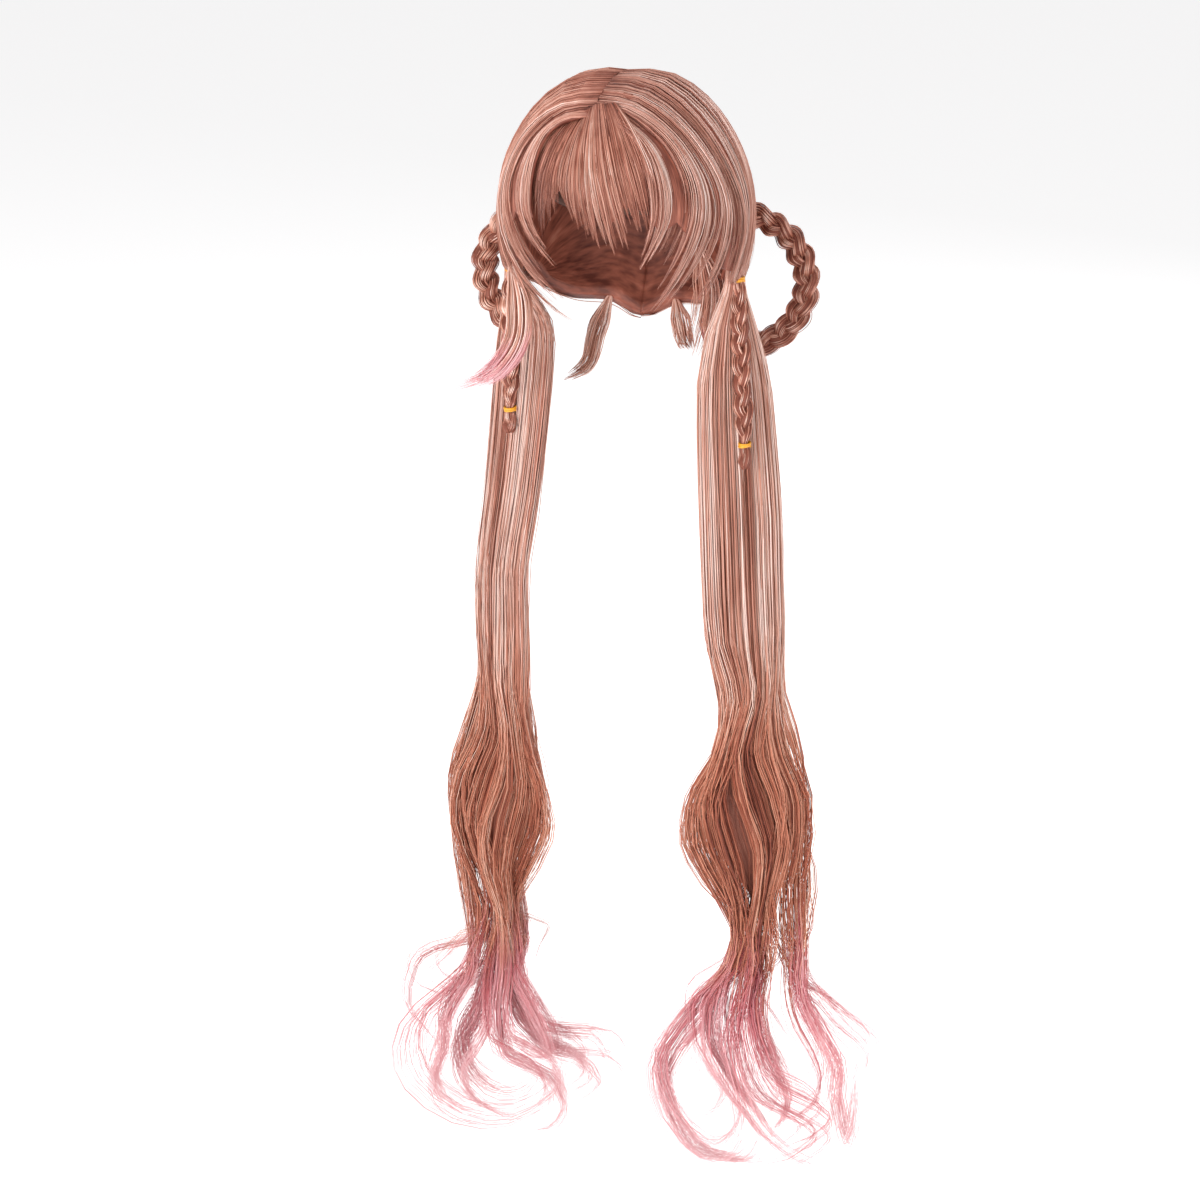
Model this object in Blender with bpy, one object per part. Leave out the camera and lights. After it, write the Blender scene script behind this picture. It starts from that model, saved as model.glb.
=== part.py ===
"""A long two-tail wig with a fringe, face-framing locks, ring braids and curled ends.

Metres, +Z up, the face opening towards -Y. The origin is the top of the cap's
inside, where the wig sits on the crown of a head.
"""
import bpy
import bmesh
import math
from collections import namedtuple
from mathutils import Matrix, Vector

# Clearance between neighbouring pieces
GAP = 0.0004
SEAT_GAP = 0.0020

# Cap: the inside fits a head, the rim slopes down from the brow to the nape
CAP_HALF_WIDTH = 0.074
CAP_HALF_DEPTH = 0.093
CAP_HALF_HEIGHT = 0.100
CAP_WALL = 0.0015
CAP_SHIFT_BACK = 0.005
CAP_BROW_RISE = 28
CAP_NAPE_RISE = -24

# Outer form of the hair on the head: how far it stands out from the cap's inside at
# the sides, the front and the top, and how much lower its middle lies than the cap's
HAIR_SIDE_LOFT = 0.0515
HAIR_FRONT_LOFT = 0.032
HAIR_LOFT = 0.022
HAIR_LOWER = 0.028
HAIR_SIDE_THICK = 0.023
HAIR_BACK_THICK = 0.016
GROOVE_DEPTH = 0.008
PARTING_SWING = 0.14

# Fringe
FRINGE_THICK = 0.007

# Tails: where they are tied, how far they fall, and their section. The tie lies in from
# the hair's widest line and a share of its half height under it.
TIE_INSET = 0.0155
TIE_BACK = 0.004
TIE_LOW = 1 / 3
TAIL_FALL = 0.920
TAIL_SWAY = 0.040
TAIL_HALF_WIDTH = 0.040
TAIL_HALF_DEPTH = 0.014
TAIL_BACK = 0.018
TAIL_SPREAD = 0.075
TAIL_FLUTES = 7
TAIL_FLUTE_DEPTH = 0.10
LOCK_HALF_WIDTH = 0.0160
LOCK_HALF_DEPTH = 0.0105
CURL_RADIUS = 0.045

# Ring braids behind the tails: their middles lie in from the tie and under it
RING_RADIUS = 0.066
RING_INSET = 0.014
RING_BACK = 0.090
RING_LOWER = 0.024
RING_BRAID_HALF = 0.0122

# Small plaits and the elastics round them: the top lies out, forward and up from the
# tie, the upper elastic a little under it, and a loose tag hangs from the lower one
PLAIT_HALF = 0.0088
PLAIT_NECK = 0.0036
PLAIT_FALL = 0.166
PLAIT_OUT = 0.002
PLAIT_FORWARD = 0.006
PLAIT_UP = 0.003
PLAIT_TIE = 0.006
PLAIT_TAG = 0.024
PLAIT_SWELL = 0.020
ELASTIC_WIRE = 0.0013

# Flicked side locks and nape locks
FLICK_HALF_WIDTH = 0.0140
FLICK_HALF_DEPTH = 0.0050
NAPE_HALF_WIDTH = 0.0110
NAPE_HALF_DEPTH = 0.0045

HAIR_HALF_WIDTH = CAP_HALF_WIDTH + HAIR_SIDE_LOFT
HAIR_HALF_DEPTH = CAP_HALF_DEPTH + HAIR_FRONT_LOFT
HAIR_HALF_HEIGHT = CAP_HALF_HEIGHT + HAIR_LOFT + HAIR_LOWER
HAIR_CENTRE = Vector((0.0, CAP_SHIFT_BACK, HAIR_LOFT - HAIR_HALF_HEIGHT))
HAIR_HALF = Vector((HAIR_HALF_WIDTH, HAIR_HALF_DEPTH, HAIR_HALF_HEIGHT))
HAIR_WALL = Vector((HAIR_SIDE_THICK, HAIR_BACK_THICK, HAIR_LOFT - CAP_WALL - SEAT_GAP))
TIE_OUT = HAIR_HALF_WIDTH - TIE_INSET
TIE_DROP = HAIR_HALF_HEIGHT * (1 + TIE_LOW) - HAIR_LOFT
RING_OUT = TIE_OUT - RING_INSET
RING_DROP = TIE_DROP + RING_LOWER

# One row for each main line of the crown hair, from the front lock round to the nape.
# root: angle along the parting, from the front over the top. The angles after it are
# the turn from the face and the rise of three places along the line. groove: how deep
# the line lies between its neighbours. body and tip_body: shares of the wall.
Line = namedtuple("Line", "root turn_1 rise_1 turn_2 rise_2 tip_turn tip_rise groove body tip_body")

RIGHT_FRONT = (
    Line(51, 18, 37, 24, 13, 19, -6, 0.0, 0.40, 0.14),
    Line(53, 25, 36, 31, 9, 16, -17, 0.0, 0.40, 0.12),
    Line(56, 32, 37, 38, 12, 29, -9, 1.0, 0.40, 0.20),
    Line(60, 42, 37, 49, 8, 21, -37, 0.0, 0.80, 0.14),
    Line(64, 48, 36, 56, 7, 36, -25, 0.6, 1.00, 0.20),
    Line(68, 54, 36, 64, 6, 45, -32, 0.0, 1.00, 0.22),
    Line(73, 62, 35, 71, 5, 60, -24, 0.5, 1.00, 0.40),
    Line(79, 68, 34, 78, 4, 73, -18, 0.0, 1.00, 0.90),
)
LEFT_FRONT = (
    Line(51, 39, 38, 36, 11, 24, -4, 0.0, 0.40, 0.14),
    Line(53, 44, 37, 43, 9, 16, -16, 0.0, 0.40, 0.12),
    Line(56, 53, 35, 53, 12, 33, -8, 1.0, 0.40, 0.20),
    Line(60, 62, 34, 63, 5, 6, -39, 0.0, 0.80, 0.14),
    Line(64, 68, 33, 68, 3, 38, -25, 0.6, 1.00, 0.20),
    Line(68, 73, 32, 73, 1, 48, -27, 0.0, 1.00, 0.24),
    Line(73, 78, 31, 78, -1, 60, -21, 0.5, 1.00, 0.40),
    Line(79, 83, 30, 82, -1, 72, -18, 0.0, 1.00, 0.90),
)
BACK = (
    Line(95, 94, 42, 91, 8, 83, -18, 0.0, 1.00, 1.00),
    Line(120, 120, 40, 105, 6, 91, -19, 0.0, 1.00, 1.00),
    Line(150, 146, 28, 121, -1, 98, -21, 0.0, 1.00, 1.00),
    Line(190, 160, -10, 133, -17, 105, -25, 0.2, 1.00, 1.00),
    Line(232, 158, -43, 134, -40, 112, -31, 0.0, 0.90, 0.90),
)

# Fringe lines: turn and rise of the root, the middle and the tip, and the groove
Fringe = namedtuple("Fringe", "turn_0 rise_0 turn_1 rise_1 tip_turn tip_rise groove")
FRINGE = (
    Fringe(-27, 51, -38, 28, -41, 10, 0.0),
    Fringe(-25, 52, -31, 25, -31, -3, 0.2),
    Fringe(-22, 53, -25, 25, -19, 13, 0.9),
    Fringe(-19, 54, -18, 22, -12, 4, 0.1),
    Fringe(-15, 54, -8, 22, 0, -5, 0.4),
    Fringe(-12, 54, 1, 22, 13, -9, 0.1),
    Fringe(-10, 54, 7, 23, 16, 3, 0.8),
    Fringe(-7, 54, 14, 24, 25, -2, 0.1),
    Fringe(-3, 54, 22, 28, 29, 5, 0.0),
)

# Tail sections: shares of the fall, the sway, the half width and depth of the tied
# body, and of the spread of its locks; turn is the section's own turn about Z.
Section = namedtuple("Section", "fall sway width depth spread turn")
TAIL_RIGHT = (
    Section(-0.010, -0.05, 0.16, 0.40, 0.10, 35),
    Section(0.015, -0.08, 0.26, 0.56, 0.20, 35),
    Section(0.060, -0.15, 0.58, 0.85, 0.30, 35),
    Section(0.138, -0.12, 0.92, 1.00, 0.36, 34),
    Section(0.250, 0.06, 1.00, 1.05, 0.45, 32),
    Section(0.356, 0.14, 0.98, 1.05, 0.36, 30),
    Section(0.468, 0.37, 0.90, 0.95, 0.48, 26),
    Section(0.550, 0.34, 0.60, 0.80, 0.85, 20),
    Section(0.600, 0.34, 0.22, 0.40, 1.00, 16),
    Section(0.653, 0.55, 0.00, 0.00, 1.00, 12),
    Section(0.752, 0.85, 0.00, 0.00, 0.58, 8),
    Section(0.883, 1.00, 0.00, 0.00, 1.38, 4),
    Section(1.000, 1.05, 0.00, 0.00, 1.55, 0),
)
TAIL_LEFT = (
    Section(-0.010, 0.00, 0.16, 0.40, 0.10, 38),
    Section(0.015, -0.02, 0.26, 0.56, 0.20, 38),
    Section(0.060, -0.25, 0.74, 0.85, 0.30, 30),
    Section(0.138, -0.12, 0.86, 1.00, 0.30, 34),
    Section(0.250, 0.18, 0.84, 1.05, 0.32, 38),
    Section(0.356, 0.46, 0.80, 1.05, 0.34, 40),
    Section(0.468, 0.42, 0.86, 0.95, 0.44, 30),
    Section(0.550, 0.50, 0.56, 0.80, 0.72, 20),
    Section(0.600, 0.62, 0.22, 0.40, 0.85, 14),
    Section(0.653, 0.70, 0.00, 0.00, 0.82, 8),
    Section(0.752, 0.62, 0.00, 0.00, 0.34, 4),
    Section(0.883, 0.42, 0.00, 0.00, 1.35, 0),
    Section(1.000, 0.40, 0.00, 0.00, 1.50, 0),
)

# Locks of the tail's lower half: across and forward are shares of the spread, split
# and curl are the shares of the fall where the lock leaves the body and starts to
# curl, round is a share of the curl's radius, sweep is how far it curls and facing
# the way it curls: 1 outwards from the wearer, -1 inwards.
Lock = namedtuple("Lock", "across forward split curl round sweep facing width")
LOCKS_RIGHT = (
    Lock(-0.92, 0.10, 0.40, 0.930, 1.10, 150, 1, 0.95),
    Lock(-0.50, 0.34, 0.37, 0.950, 0.90, 120, 1, 1.15),
    Lock(-0.12, -0.12, 0.36, 0.965, 0.65, 90, 1, 1.20),
    Lock(0.26, 0.34, 0.36, 0.950, 0.75, 105, -1, 1.15),
    Lock(0.62, -0.08, 0.38, 0.920, 0.85, 125, -1, 1.10),
    Lock(0.98, 0.15, 0.41, 0.850, 0.75, 150, -1, 0.80),
)
LOCKS_LEFT = (
    Lock(0.98, 0.10, 0.41, 0.890, 1.05, 150, -1, 0.80),
    Lock(0.58, 0.32, 0.38, 0.930, 0.90, 110, -1, 1.10),
    Lock(0.20, -0.12, 0.36, 0.945, 0.70, 100, -1, 1.20),
    Lock(-0.20, 0.32, 0.36, 0.940, 0.70, 90, 1, 1.20),
    Lock(-0.60, -0.04, 0.38, 0.920, 0.75, 115, 1, 1.10),
    Lock(-0.95, 0.15, 0.40, 0.875, 0.75, 150, 1, 0.85),
)

# Places along the loose side locks: shares of the tie's distance out, the hair's half
# depth and the tie's drop
Place = namedtuple("Place", "out back drop")
FLICK_LEFT = (
    Place(0.91, -0.37, 0.955),
    Place(0.83, -0.42, 1.15),
    Place(0.845, -0.46, 1.35),
    Place(1.055, -0.49, 1.53),
    Place(1.43, -0.51, 1.635),
)
FLICK_RIGHT = (
    Place(0.91, 0.32, 0.985),
    Place(0.74, 0.38, 1.18),
    Place(0.68, 0.42, 1.38),
    Place(0.84, 0.45, 1.58),
    Place(1.22, 0.46, 1.65),
)
NAPE_LEFT = (
    Place(0.30, 0.665, 1.245),
    Place(0.41, 0.62, 1.44),
    Place(0.48, 0.53, 1.62),
    Place(0.70, 0.42, 1.71),
)
NAPE_RIGHT = (
    Place(0.30, 0.665, 1.245),
    Place(0.37, 0.62, 1.38),
    Place(0.42, 0.55, 1.47),
    Place(0.49, 0.44, 1.50),
)


def clear_scene():
    for item in list(bpy.data.objects):
        bpy.data.objects.remove(item)


def finish(name, colour, roughness, metallic=0.0):
    material = bpy.data.materials.new(name)
    material.use_nodes = True
    shader = material.node_tree.nodes["Principled BSDF"]
    shader.inputs["Base Color"].default_value = (*colour, 1.0)
    shader.inputs["Roughness"].default_value = roughness
    shader.inputs["Metallic"].default_value = metallic
    return material


def add_piece(name, points, faces, material):
    """One closed mesh object, its faces turned outwards."""
    mesh = bpy.data.meshes.new(name)
    mesh.from_pydata([tuple(p) for p in points], [], faces)
    shape = bmesh.new()
    shape.from_mesh(mesh)
    bmesh.ops.triangulate(shape, faces=shape.faces)
    bmesh.ops.recalc_face_normals(shape, faces=shape.faces)
    shape.to_mesh(mesh)
    shape.free()
    mesh.shade_smooth()
    mesh.set_sharp_from_angle(angle=math.radians(50))
    mesh.materials.append(material)
    piece = bpy.data.objects.new(name, mesh)
    bpy.context.scene.collection.objects.link(piece)
    return piece


def hide_as_tool(tool):
    tool.hide_render = True
    tool.display_type = 'WIRE'


def keep_clear(piece, *others):
    """Cut the piece back from its neighbours, which leaves the small gap between them."""
    for other in others:
        tool = bpy.data.objects.new(f"{piece.name}_off_{other.name}", other.data)
        bpy.context.scene.collection.objects.link(tool)
        swell = tool.modifiers.new("gap", 'DISPLACE')
        swell.strength = 1.3 * GAP
        swell.mid_level = 0.0
        hide_as_tool(tool)
        cut = piece.modifiers.new("seat", 'BOOLEAN')
        cut.operation = 'DIFFERENCE'
        cut.object = tool


def fuse(piece, *others):
    for other in others:
        hide_as_tool(other)
        join = piece.modifiers.new("fuse", 'BOOLEAN')
        join.operation = 'UNION'
        join.object = other


def along(places, share):
    """A point on the smooth curve through the given places."""
    spans = len(places) - 1
    place = min(max(share, 0.0), 1.0) * spans
    first = min(int(place), spans - 1)
    t = place - first
    p1, p2 = places[first], places[first + 1]
    p0 = places[first - 1] if first > 0 else p1 * 2 - p2
    p3 = places[first + 2] if first + 2 <= spans else p2 * 2 - p1
    rising = (p2 - p0) * t + (p0 * 2 - p1 * 5 + p2 * 4 - p3) * t ** 2
    return p1 + (rising + (p1 * 3 - p0 - p2 * 3 + p3) * t ** 3) * 0.5


def mixed(row_a, row_b, share):
    return type(row_a)(*(a + (b - a) * share for a, b in zip(row_a, row_b)))


def read_row(table, fall):
    """The table's row at a share of the fall, eased between its own rows."""
    for above, below in zip(table, table[1:]):
        if fall <= below.fall:
            share = (fall - above.fall) / (below.fall - above.fall)
            share = max(share, 0.0)
            return mixed(above, below, share * share * (3 - 2 * share))
    return table[-1]


def heading(turn, rise, side=1):
    """Direction from the middle of the hair; turn is measured from the face."""
    a, b = math.radians(turn), math.radians(rise)
    return Vector((side * math.sin(a) * math.cos(b), -math.cos(a) * math.cos(b), math.sin(b)))


def parting(root):
    """Direction of a place on the parting, which swings to the left at the front."""
    a = math.radians(root)
    swing = PARTING_SWING * max(0.0, math.cos(a) / math.cos(math.radians(51))) ** 0.7
    return Vector((-swing, -math.cos(a), math.sin(a))).normalized()


def scaled(half, direction):
    return HAIR_CENTRE + Vector((a * b for a, b in zip(half, direction)))


def panel(name, lines, rows, shift, material):
    """A closed panel of hair. Each line is (places, groove, outer, root wall, tip wall)."""
    outside, inside = [], []
    for places, groove, sunk, wall, tip_wall in lines:
        for row in range(rows + 1):
            share = row / rows
            direction = along(places, share).normalized()
            body = wall + (tip_wall - wall) * share ** 1.5
            depth = groove * GROOVE_DEPTH * body * min(1.0, 5 * share)
            flat = Vector((depth, depth, depth))
            outside.append(scaled(HAIR_HALF - sunk - flat, direction) + shift)
            inside.append(scaled(HAIR_HALF - sunk - HAIR_WALL * body, direction) + shift)
    step = rows + 1
    count = len(lines)
    inner = len(outside)
    faces = []
    for i in range(count - 1):
        for j in range(rows):
            a, b = i * step + j, (i + 1) * step + j
            faces.append((a, b, b + 1, a + 1))
            faces.append((inner + a, inner + a + 1, inner + b + 1, inner + b))
        for edge in (0, rows):
            a, b = i * step + edge, (i + 1) * step + edge
            faces.append((a, b, inner + b, inner + a))
    for i in (0, count - 1):
        for j in range(rows):
            a = i * step + j
            faces.append((a, a + 1, inner + a + 1, inner + a))
    return add_piece(name, outside + inside, faces, material)


def crown(name, front, side, material):
    """Half of the crown hair, from the parting to the tips and the tie."""
    table = front + BACK
    lines = []
    for above, below in zip(table, table[1:]):
        lines.append((above, above.groove))
        between = mixed(above, below, 0.5)
        lines.append((between, between.groove + 0.20))
    lines.append((table[-1], table[-1].groove))
    strands = []
    for row, groove in lines:
        places = (parting(row.root),
                  heading(row.turn_1, row.rise_1, side),
                  heading(row.turn_2, row.rise_2, side),
                  heading(row.tip_turn, row.tip_rise, side))
        strands.append((places, groove, Vector(), row.body, row.tip_body))
    return panel(name, strands, 10, Vector((side * GAP / 2, 0, 0)), material)


def fringe(name, material):
    """The fan of hair over the forehead, just under the two front locks."""
    sunk = HAIR_WALL * RIGHT_FRONT[0].body + Vector((1, 1, 1)) * SEAT_GAP
    wall = FRINGE_THICK / HAIR_BACK_THICK
    strands = []
    for above, below in zip(FRINGE, FRINGE[1:]):
        for share in (0.0, 0.5):
            row = mixed(above, below, share)
            strands.append((row, row.groove + share * 0.4))
    strands.append((FRINGE[-1], FRINGE[-1].groove))
    lines = []
    for row, groove in strands:
        places = (heading(row.turn_0, row.rise_0),
                  heading(row.turn_1, row.rise_1),
                  heading(row.tip_turn, row.tip_rise))
        lines.append((places, groove, sunk, wall, wall * 0.4))
    return panel(name, lines, 8, Vector(), material)


def cap(name, material):
    """The thin cap under the hair, open below."""
    around, rows = 20, 6
    points = []
    for wall in (CAP_WALL, 0.0):
        half = Vector((CAP_HALF_WIDTH + wall, CAP_HALF_DEPTH + wall, CAP_HALF_HEIGHT + wall))
        points.append(Vector((0, CAP_SHIFT_BACK, wall)))
        for row in range(1, rows + 1):
            for i in range(around):
                turn = 360 * i / around
                front = 0.5 + 0.5 * math.cos(math.radians(turn))
                rim = CAP_NAPE_RISE + (CAP_BROW_RISE - CAP_NAPE_RISE) * front ** 1.5
                direction = heading(turn, 90 + (rim - 90) * row / rows)
                place = Vector((a * b for a, b in zip(half, direction)))
                points.append(place + Vector((0, CAP_SHIFT_BACK, -CAP_HALF_HEIGHT)))
    shell = len(points) // 2
    faces = []
    for start, outwards in ((0, 1), (shell, -1)):
        for i in range(around):
            j = (i + 1) % around
            faces.append((start, start + 1 + i, start + 1 + j)[::outwards])
            for row in range(rows - 1):
                a = start + 1 + row * around
                faces.append((a + i, a + around + i, a + around + j, a + j)[::outwards])
    rim_start = 1 + (rows - 1) * around
    for i in range(around):
        j = (i + 1) % around
        faces.append((rim_start + i, shell + rim_start + i, shell + rim_start + j, rim_start + j))
    return add_piece(name, points, faces, material)


def loft(name, rings, material):
    """A closed body through rings of points, with a flat fan at each end."""
    sides = len(rings[0])
    points = [p for ring in rings for p in ring]
    faces = []
    for i in range(len(rings) - 1):
        for k in range(sides):
            a, b = i * sides + k, i * sides + (k + 1) % sides
            faces.append((a, b, b + sides, a + sides))
    for ring, start in ((rings[0], 0), (rings[-1], len(points) - sides)):
        centre = sum(ring, Vector()) / sides
        points.append(centre)
        for k in range(sides):
            faces.append((len(points) - 1, start + (k + 1) % sides, start + k))
    return add_piece(name, points, faces, material)


def oval(centre, wide, deep, sides, flutes=0, flute_depth=0.0):
    """A ring of points round a centre; wide and deep are its two half axes."""
    ring = []
    for k in range(sides):
        a = 2 * math.pi * k / sides
        dip = 1 - flute_depth * (0.5 - 0.5 * math.cos(flutes * a))
        ring.append(centre + (wide * math.cos(a) + deep * math.sin(a)) * dip)
    return ring


def frames(path, across):
    """For each point of a path: the point, a unit width axis and a unit depth axis."""
    result = []
    for i, point in enumerate(path):
        ahead = path[min(i + 1, len(path) - 1)] - path[max(i - 1, 0)]
        depth = ahead.cross(across).normalized()
        width = depth.cross(ahead).normalized()
        result.append((point, width, depth))
    return result


def tail_centre(table, side, fall):
    row = read_row(table, fall)
    x = side * (TIE_OUT + row.sway * TAIL_SWAY)
    y = TIE_BACK + (TAIL_BACK - TIE_BACK) * min(1.0, max(0.0, fall) / 0.138)
    return Vector((x, y, -TIE_DROP - TAIL_FALL * fall))


def tail_body(name, table, side, material):
    """The tied upper body of a tail: a fluted oval section, turned about the head."""
    falls = [row.fall for row in table if row.width > 0]
    sections = []
    for fall in falls:
        row = read_row(table, fall)
        turn = Matrix.Rotation(side * math.radians(row.turn), 3, 'Z')
        wide = turn @ Vector((TAIL_HALF_WIDTH * row.width, 0, 0))
        deep = turn @ Vector((0, TAIL_HALF_DEPTH * row.depth, 0))
        sections.append(oval(tail_centre(table, side, fall), wide, deep, 14,
                             TAIL_FLUTES, TAIL_FLUTE_DEPTH))
    return loft(name, sections, material)


def lock_path(table, side, lock):
    """Down along the tail's own spread, then round the curl at the end."""
    path = []
    hanging = 9
    for i in range(hanging):
        fall = lock.split + (lock.curl - lock.split) * i / (hanging - 1)
        row = read_row(table, fall)
        turn = side * math.radians(row.turn)
        out = lock.across * row.spread * TAIL_SPREAD
        front = lock.forward * min(row.spread, 1.0) * TAIL_SPREAD * 0.5
        offset = Vector((side * out * math.cos(turn), side * out * math.sin(turn) - front, 0))
        path.append(tail_centre(table, side, fall) + offset)
    direction = (path[-1] - path[-2]).normalized()
    axis = Vector((0, -side * lock.facing, 0))
    steps = 6
    bend = math.radians(lock.sweep) / steps
    step = lock.round * CURL_RADIUS * bend
    for i in range(steps):
        direction = Matrix.Rotation(bend, 3, axis) @ direction
        path.append(path[-1] + direction * step)
    return path


def tail(name, table, locks, side, material):
    body = tail_body(name, table, side, material)
    parts = []
    for number, lock in enumerate(locks, 1):
        path = lock_path(table, side, lock)
        sections = []
        for i, (point, width, depth) in enumerate(frames(path, Vector((0, 1, 0)))):
            share = i / (len(path) - 1)
            full = min(1.0, 0.4 + 4 * share) * (1.05 - 0.85 * share ** 2.4)
            wide = depth * LOCK_HALF_WIDTH * lock.width * full
            deep = width * LOCK_HALF_DEPTH * lock.width * full
            sections.append(oval(point, wide, deep, 6))
        parts.append(loft(f"{name}_lock_{number}", sections, material))
    fuse(body, *parts)
    return body


def braid(name, path, across, half, twists, material, sides=12):
    """A three-strand braid: at each place the outline of its three strands together."""
    rings = []
    for i, (point, width, depth) in enumerate(frames(path, across)):
        share = i / (len(path) - 1)
        size = half(share)
        strands = []
        for strand in range(3):
            phase = 2 * math.pi * (twists * share + strand / 3)
            strands.append((0.46 * math.sin(phase), 0.28 * math.sin(2 * phase)))
        ring = []
        for k in range(sides):
            a = 2 * math.pi * k / sides
            ray = (math.cos(a), math.sin(a))
            reach = 0.0
            for x, y in strands:
                ahead = x * ray[0] + y * ray[1]
                aside = x * ray[1] - y * ray[0]
                room = 0.54 ** 2 - aside ** 2
                if room > 0:
                    reach = max(reach, ahead + math.sqrt(room))
            ring.append(point + (width * ray[0] + depth * ray[1]) * size * reach)
        rings.append(ring)
    return loft(name, rings, material)


def ring_braid(name, side, material):
    """A braid looped into a ring: from the crown, round behind and back to the tail."""
    path = []
    for step in range(29):
        a = math.radians(104 - 186 * step / 28)
        path.append(Vector((side * (RING_OUT + RING_RADIUS * math.cos(a)), RING_BACK,
                            -RING_DROP + RING_RADIUS * math.sin(a))))
    turn_in = path[-1]
    seat = Vector((side * TIE_OUT, TAIL_BACK, -RING_DROP - 0.75 * RING_RADIUS))
    for step in range(1, 7):
        share = step / 6
        bow = Vector((-side * 0.14 * RING_RADIUS, 0, 0)) * math.sin(math.pi * share)
        path.append(turn_in.lerp(seat, share) + bow)

    def half(share):
        return RING_BRAID_HALF * min(1.0, 0.5 + 6 * share, 0.45 + 5 * (1 - share))

    return braid(name, path, Vector((0.2, 1, 0)), half, 5.0, material, 10)


def plait(name, side, fall, lean, material):
    """The small plait from the upper elastic down to its own end elastic."""
    front = TIE_BACK - PLAIT_FORWARD
    top = Vector((side * (TIE_OUT + PLAIT_OUT), front, PLAIT_UP - TIE_DROP))
    end = Vector((side * (TIE_OUT + lean * PLAIT_FALL), front,
                  -TIE_DROP - fall * PLAIT_FALL - PLAIT_TAG))
    path = [top.lerp(end, step / 26) for step in range(27)]
    length = (top - end).length
    tie_shares = (PLAIT_TIE / length, 1 - PLAIT_TAG / length)

    def half(share):
        near = min(abs(share - tie) for tie in tie_shares) * length
        grown = min(1.0, max(0.0, (near - ELASTIC_WIRE * 2) / PLAIT_SWELL))
        size = PLAIT_NECK + (PLAIT_HALF - PLAIT_NECK) * grown ** 0.7
        if share > tie_shares[1]:
            return size * (1.1 - 0.5 * (share - tie_shares[1]) / (1 - tie_shares[1]))
        return size

    piece = braid(name, path, Vector((0, 1, 0)), half, 3.5, material, 8)
    return piece, [top.lerp(end, share) for share in tie_shares]


def elastic(name, centre, material):
    """A small round rubber band."""
    rings, sides = 12, 5
    inner = PLAIT_NECK + GAP + ELASTIC_WIRE
    points = []
    for i in range(rings):
        a = 2 * math.pi * i / rings
        out = Vector((math.cos(a), math.sin(a), 0))
        points += oval(centre + out * inner, out * ELASTIC_WIRE,
                       Vector((0, 0, ELASTIC_WIRE * 1.7)), sides)
    faces = []
    for i in range(rings):
        for k in range(sides):
            a, b = i * sides + k, i * sides + (k + 1) % sides
            c, d = ((i + 1) % rings) * sides + (k + 1) % sides, ((i + 1) % rings) * sides + k
            faces.append((a, b, c, d))
    return add_piece(name, points, faces, material)


def swept_lock(name, route, across, half_width, half_depth, material):
    """A flat lock through a few places, fullest above its middle and pointed at the end."""
    path = [along(route, step / 12) for step in range(13)]
    rings = []
    for i, (point, width, depth) in enumerate(frames(path, across)):
        share = i / 12
        full = min(1.0, 0.45 + 2.4 * share) * (1 - 0.90 * share ** 2.8)
        rings.append(oval(point, width * half_width * full, depth * half_depth * full, 10))
    return loft(name, rings, material)


def places(table, side):
    return [Vector((side * row.out * TIE_OUT, row.back * HAIR_HALF_DEPTH, -row.drop * TIE_DROP))
            for row in table]


def main():
    clear_scene()
    hair = finish("hair", (0.36, 0.17, 0.11), 0.42)
    braided = finish("braided_hair", (0.22, 0.10, 0.07), 0.45)
    net = finish("cap_net", (0.20, 0.10, 0.07), 0.80)
    rubber = finish("elastic", (0.85, 0.42, 0.03), 0.45)

    cap("cap", net)
    crown_right = crown("crown_right", RIGHT_FRONT, 1, hair)
    crown_left = crown("crown_left", LEFT_FRONT, -1, hair)
    fringe("fringe", hair)

    for word, side, table, locks, base, fall, lean in (
            ("right", 1, TAIL_RIGHT, LOCKS_RIGHT, crown_right, 1.0, 0.066),
            ("left", -1, TAIL_LEFT, LOCKS_LEFT, crown_left, 0.86, 0.024)):
        tied = tail(f"tail_{word}", table, locks, side, hair)
        small, ties = plait(f"plait_{word}", side, fall, lean, braided)
        upper = elastic(f"elastic_upper_{word}", ties[0], rubber)
        lower = elastic(f"elastic_lower_{word}", ties[1], rubber)
        keep_clear(tied, base, small, upper, lower)
        keep_clear(small, base)
        ring = ring_braid(f"ring_braid_{word}", side, braided)
        keep_clear(ring, base, tied)

        flicks = FLICK_RIGHT if side > 0 else FLICK_LEFT
        flick = swept_lock(f"flick_{word}", places(flicks, side), Vector((1, side * -0.3, 0)),
                           FLICK_HALF_WIDTH, FLICK_HALF_DEPTH, hair)
        keep_clear(flick, base, tied, small, ring)
        napes = NAPE_RIGHT if side > 0 else NAPE_LEFT
        nape = swept_lock(f"nape_lock_{word}", places(napes, side), Vector((1, 0, 0)),
                          NAPE_HALF_WIDTH, NAPE_HALF_DEPTH, hair)
        keep_clear(nape, base, ring, flick)


main()
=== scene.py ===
"""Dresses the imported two-tail wig: combed fibre, braids, rubber bands, cap and stage."""
import math
from collections import namedtuple

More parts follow.
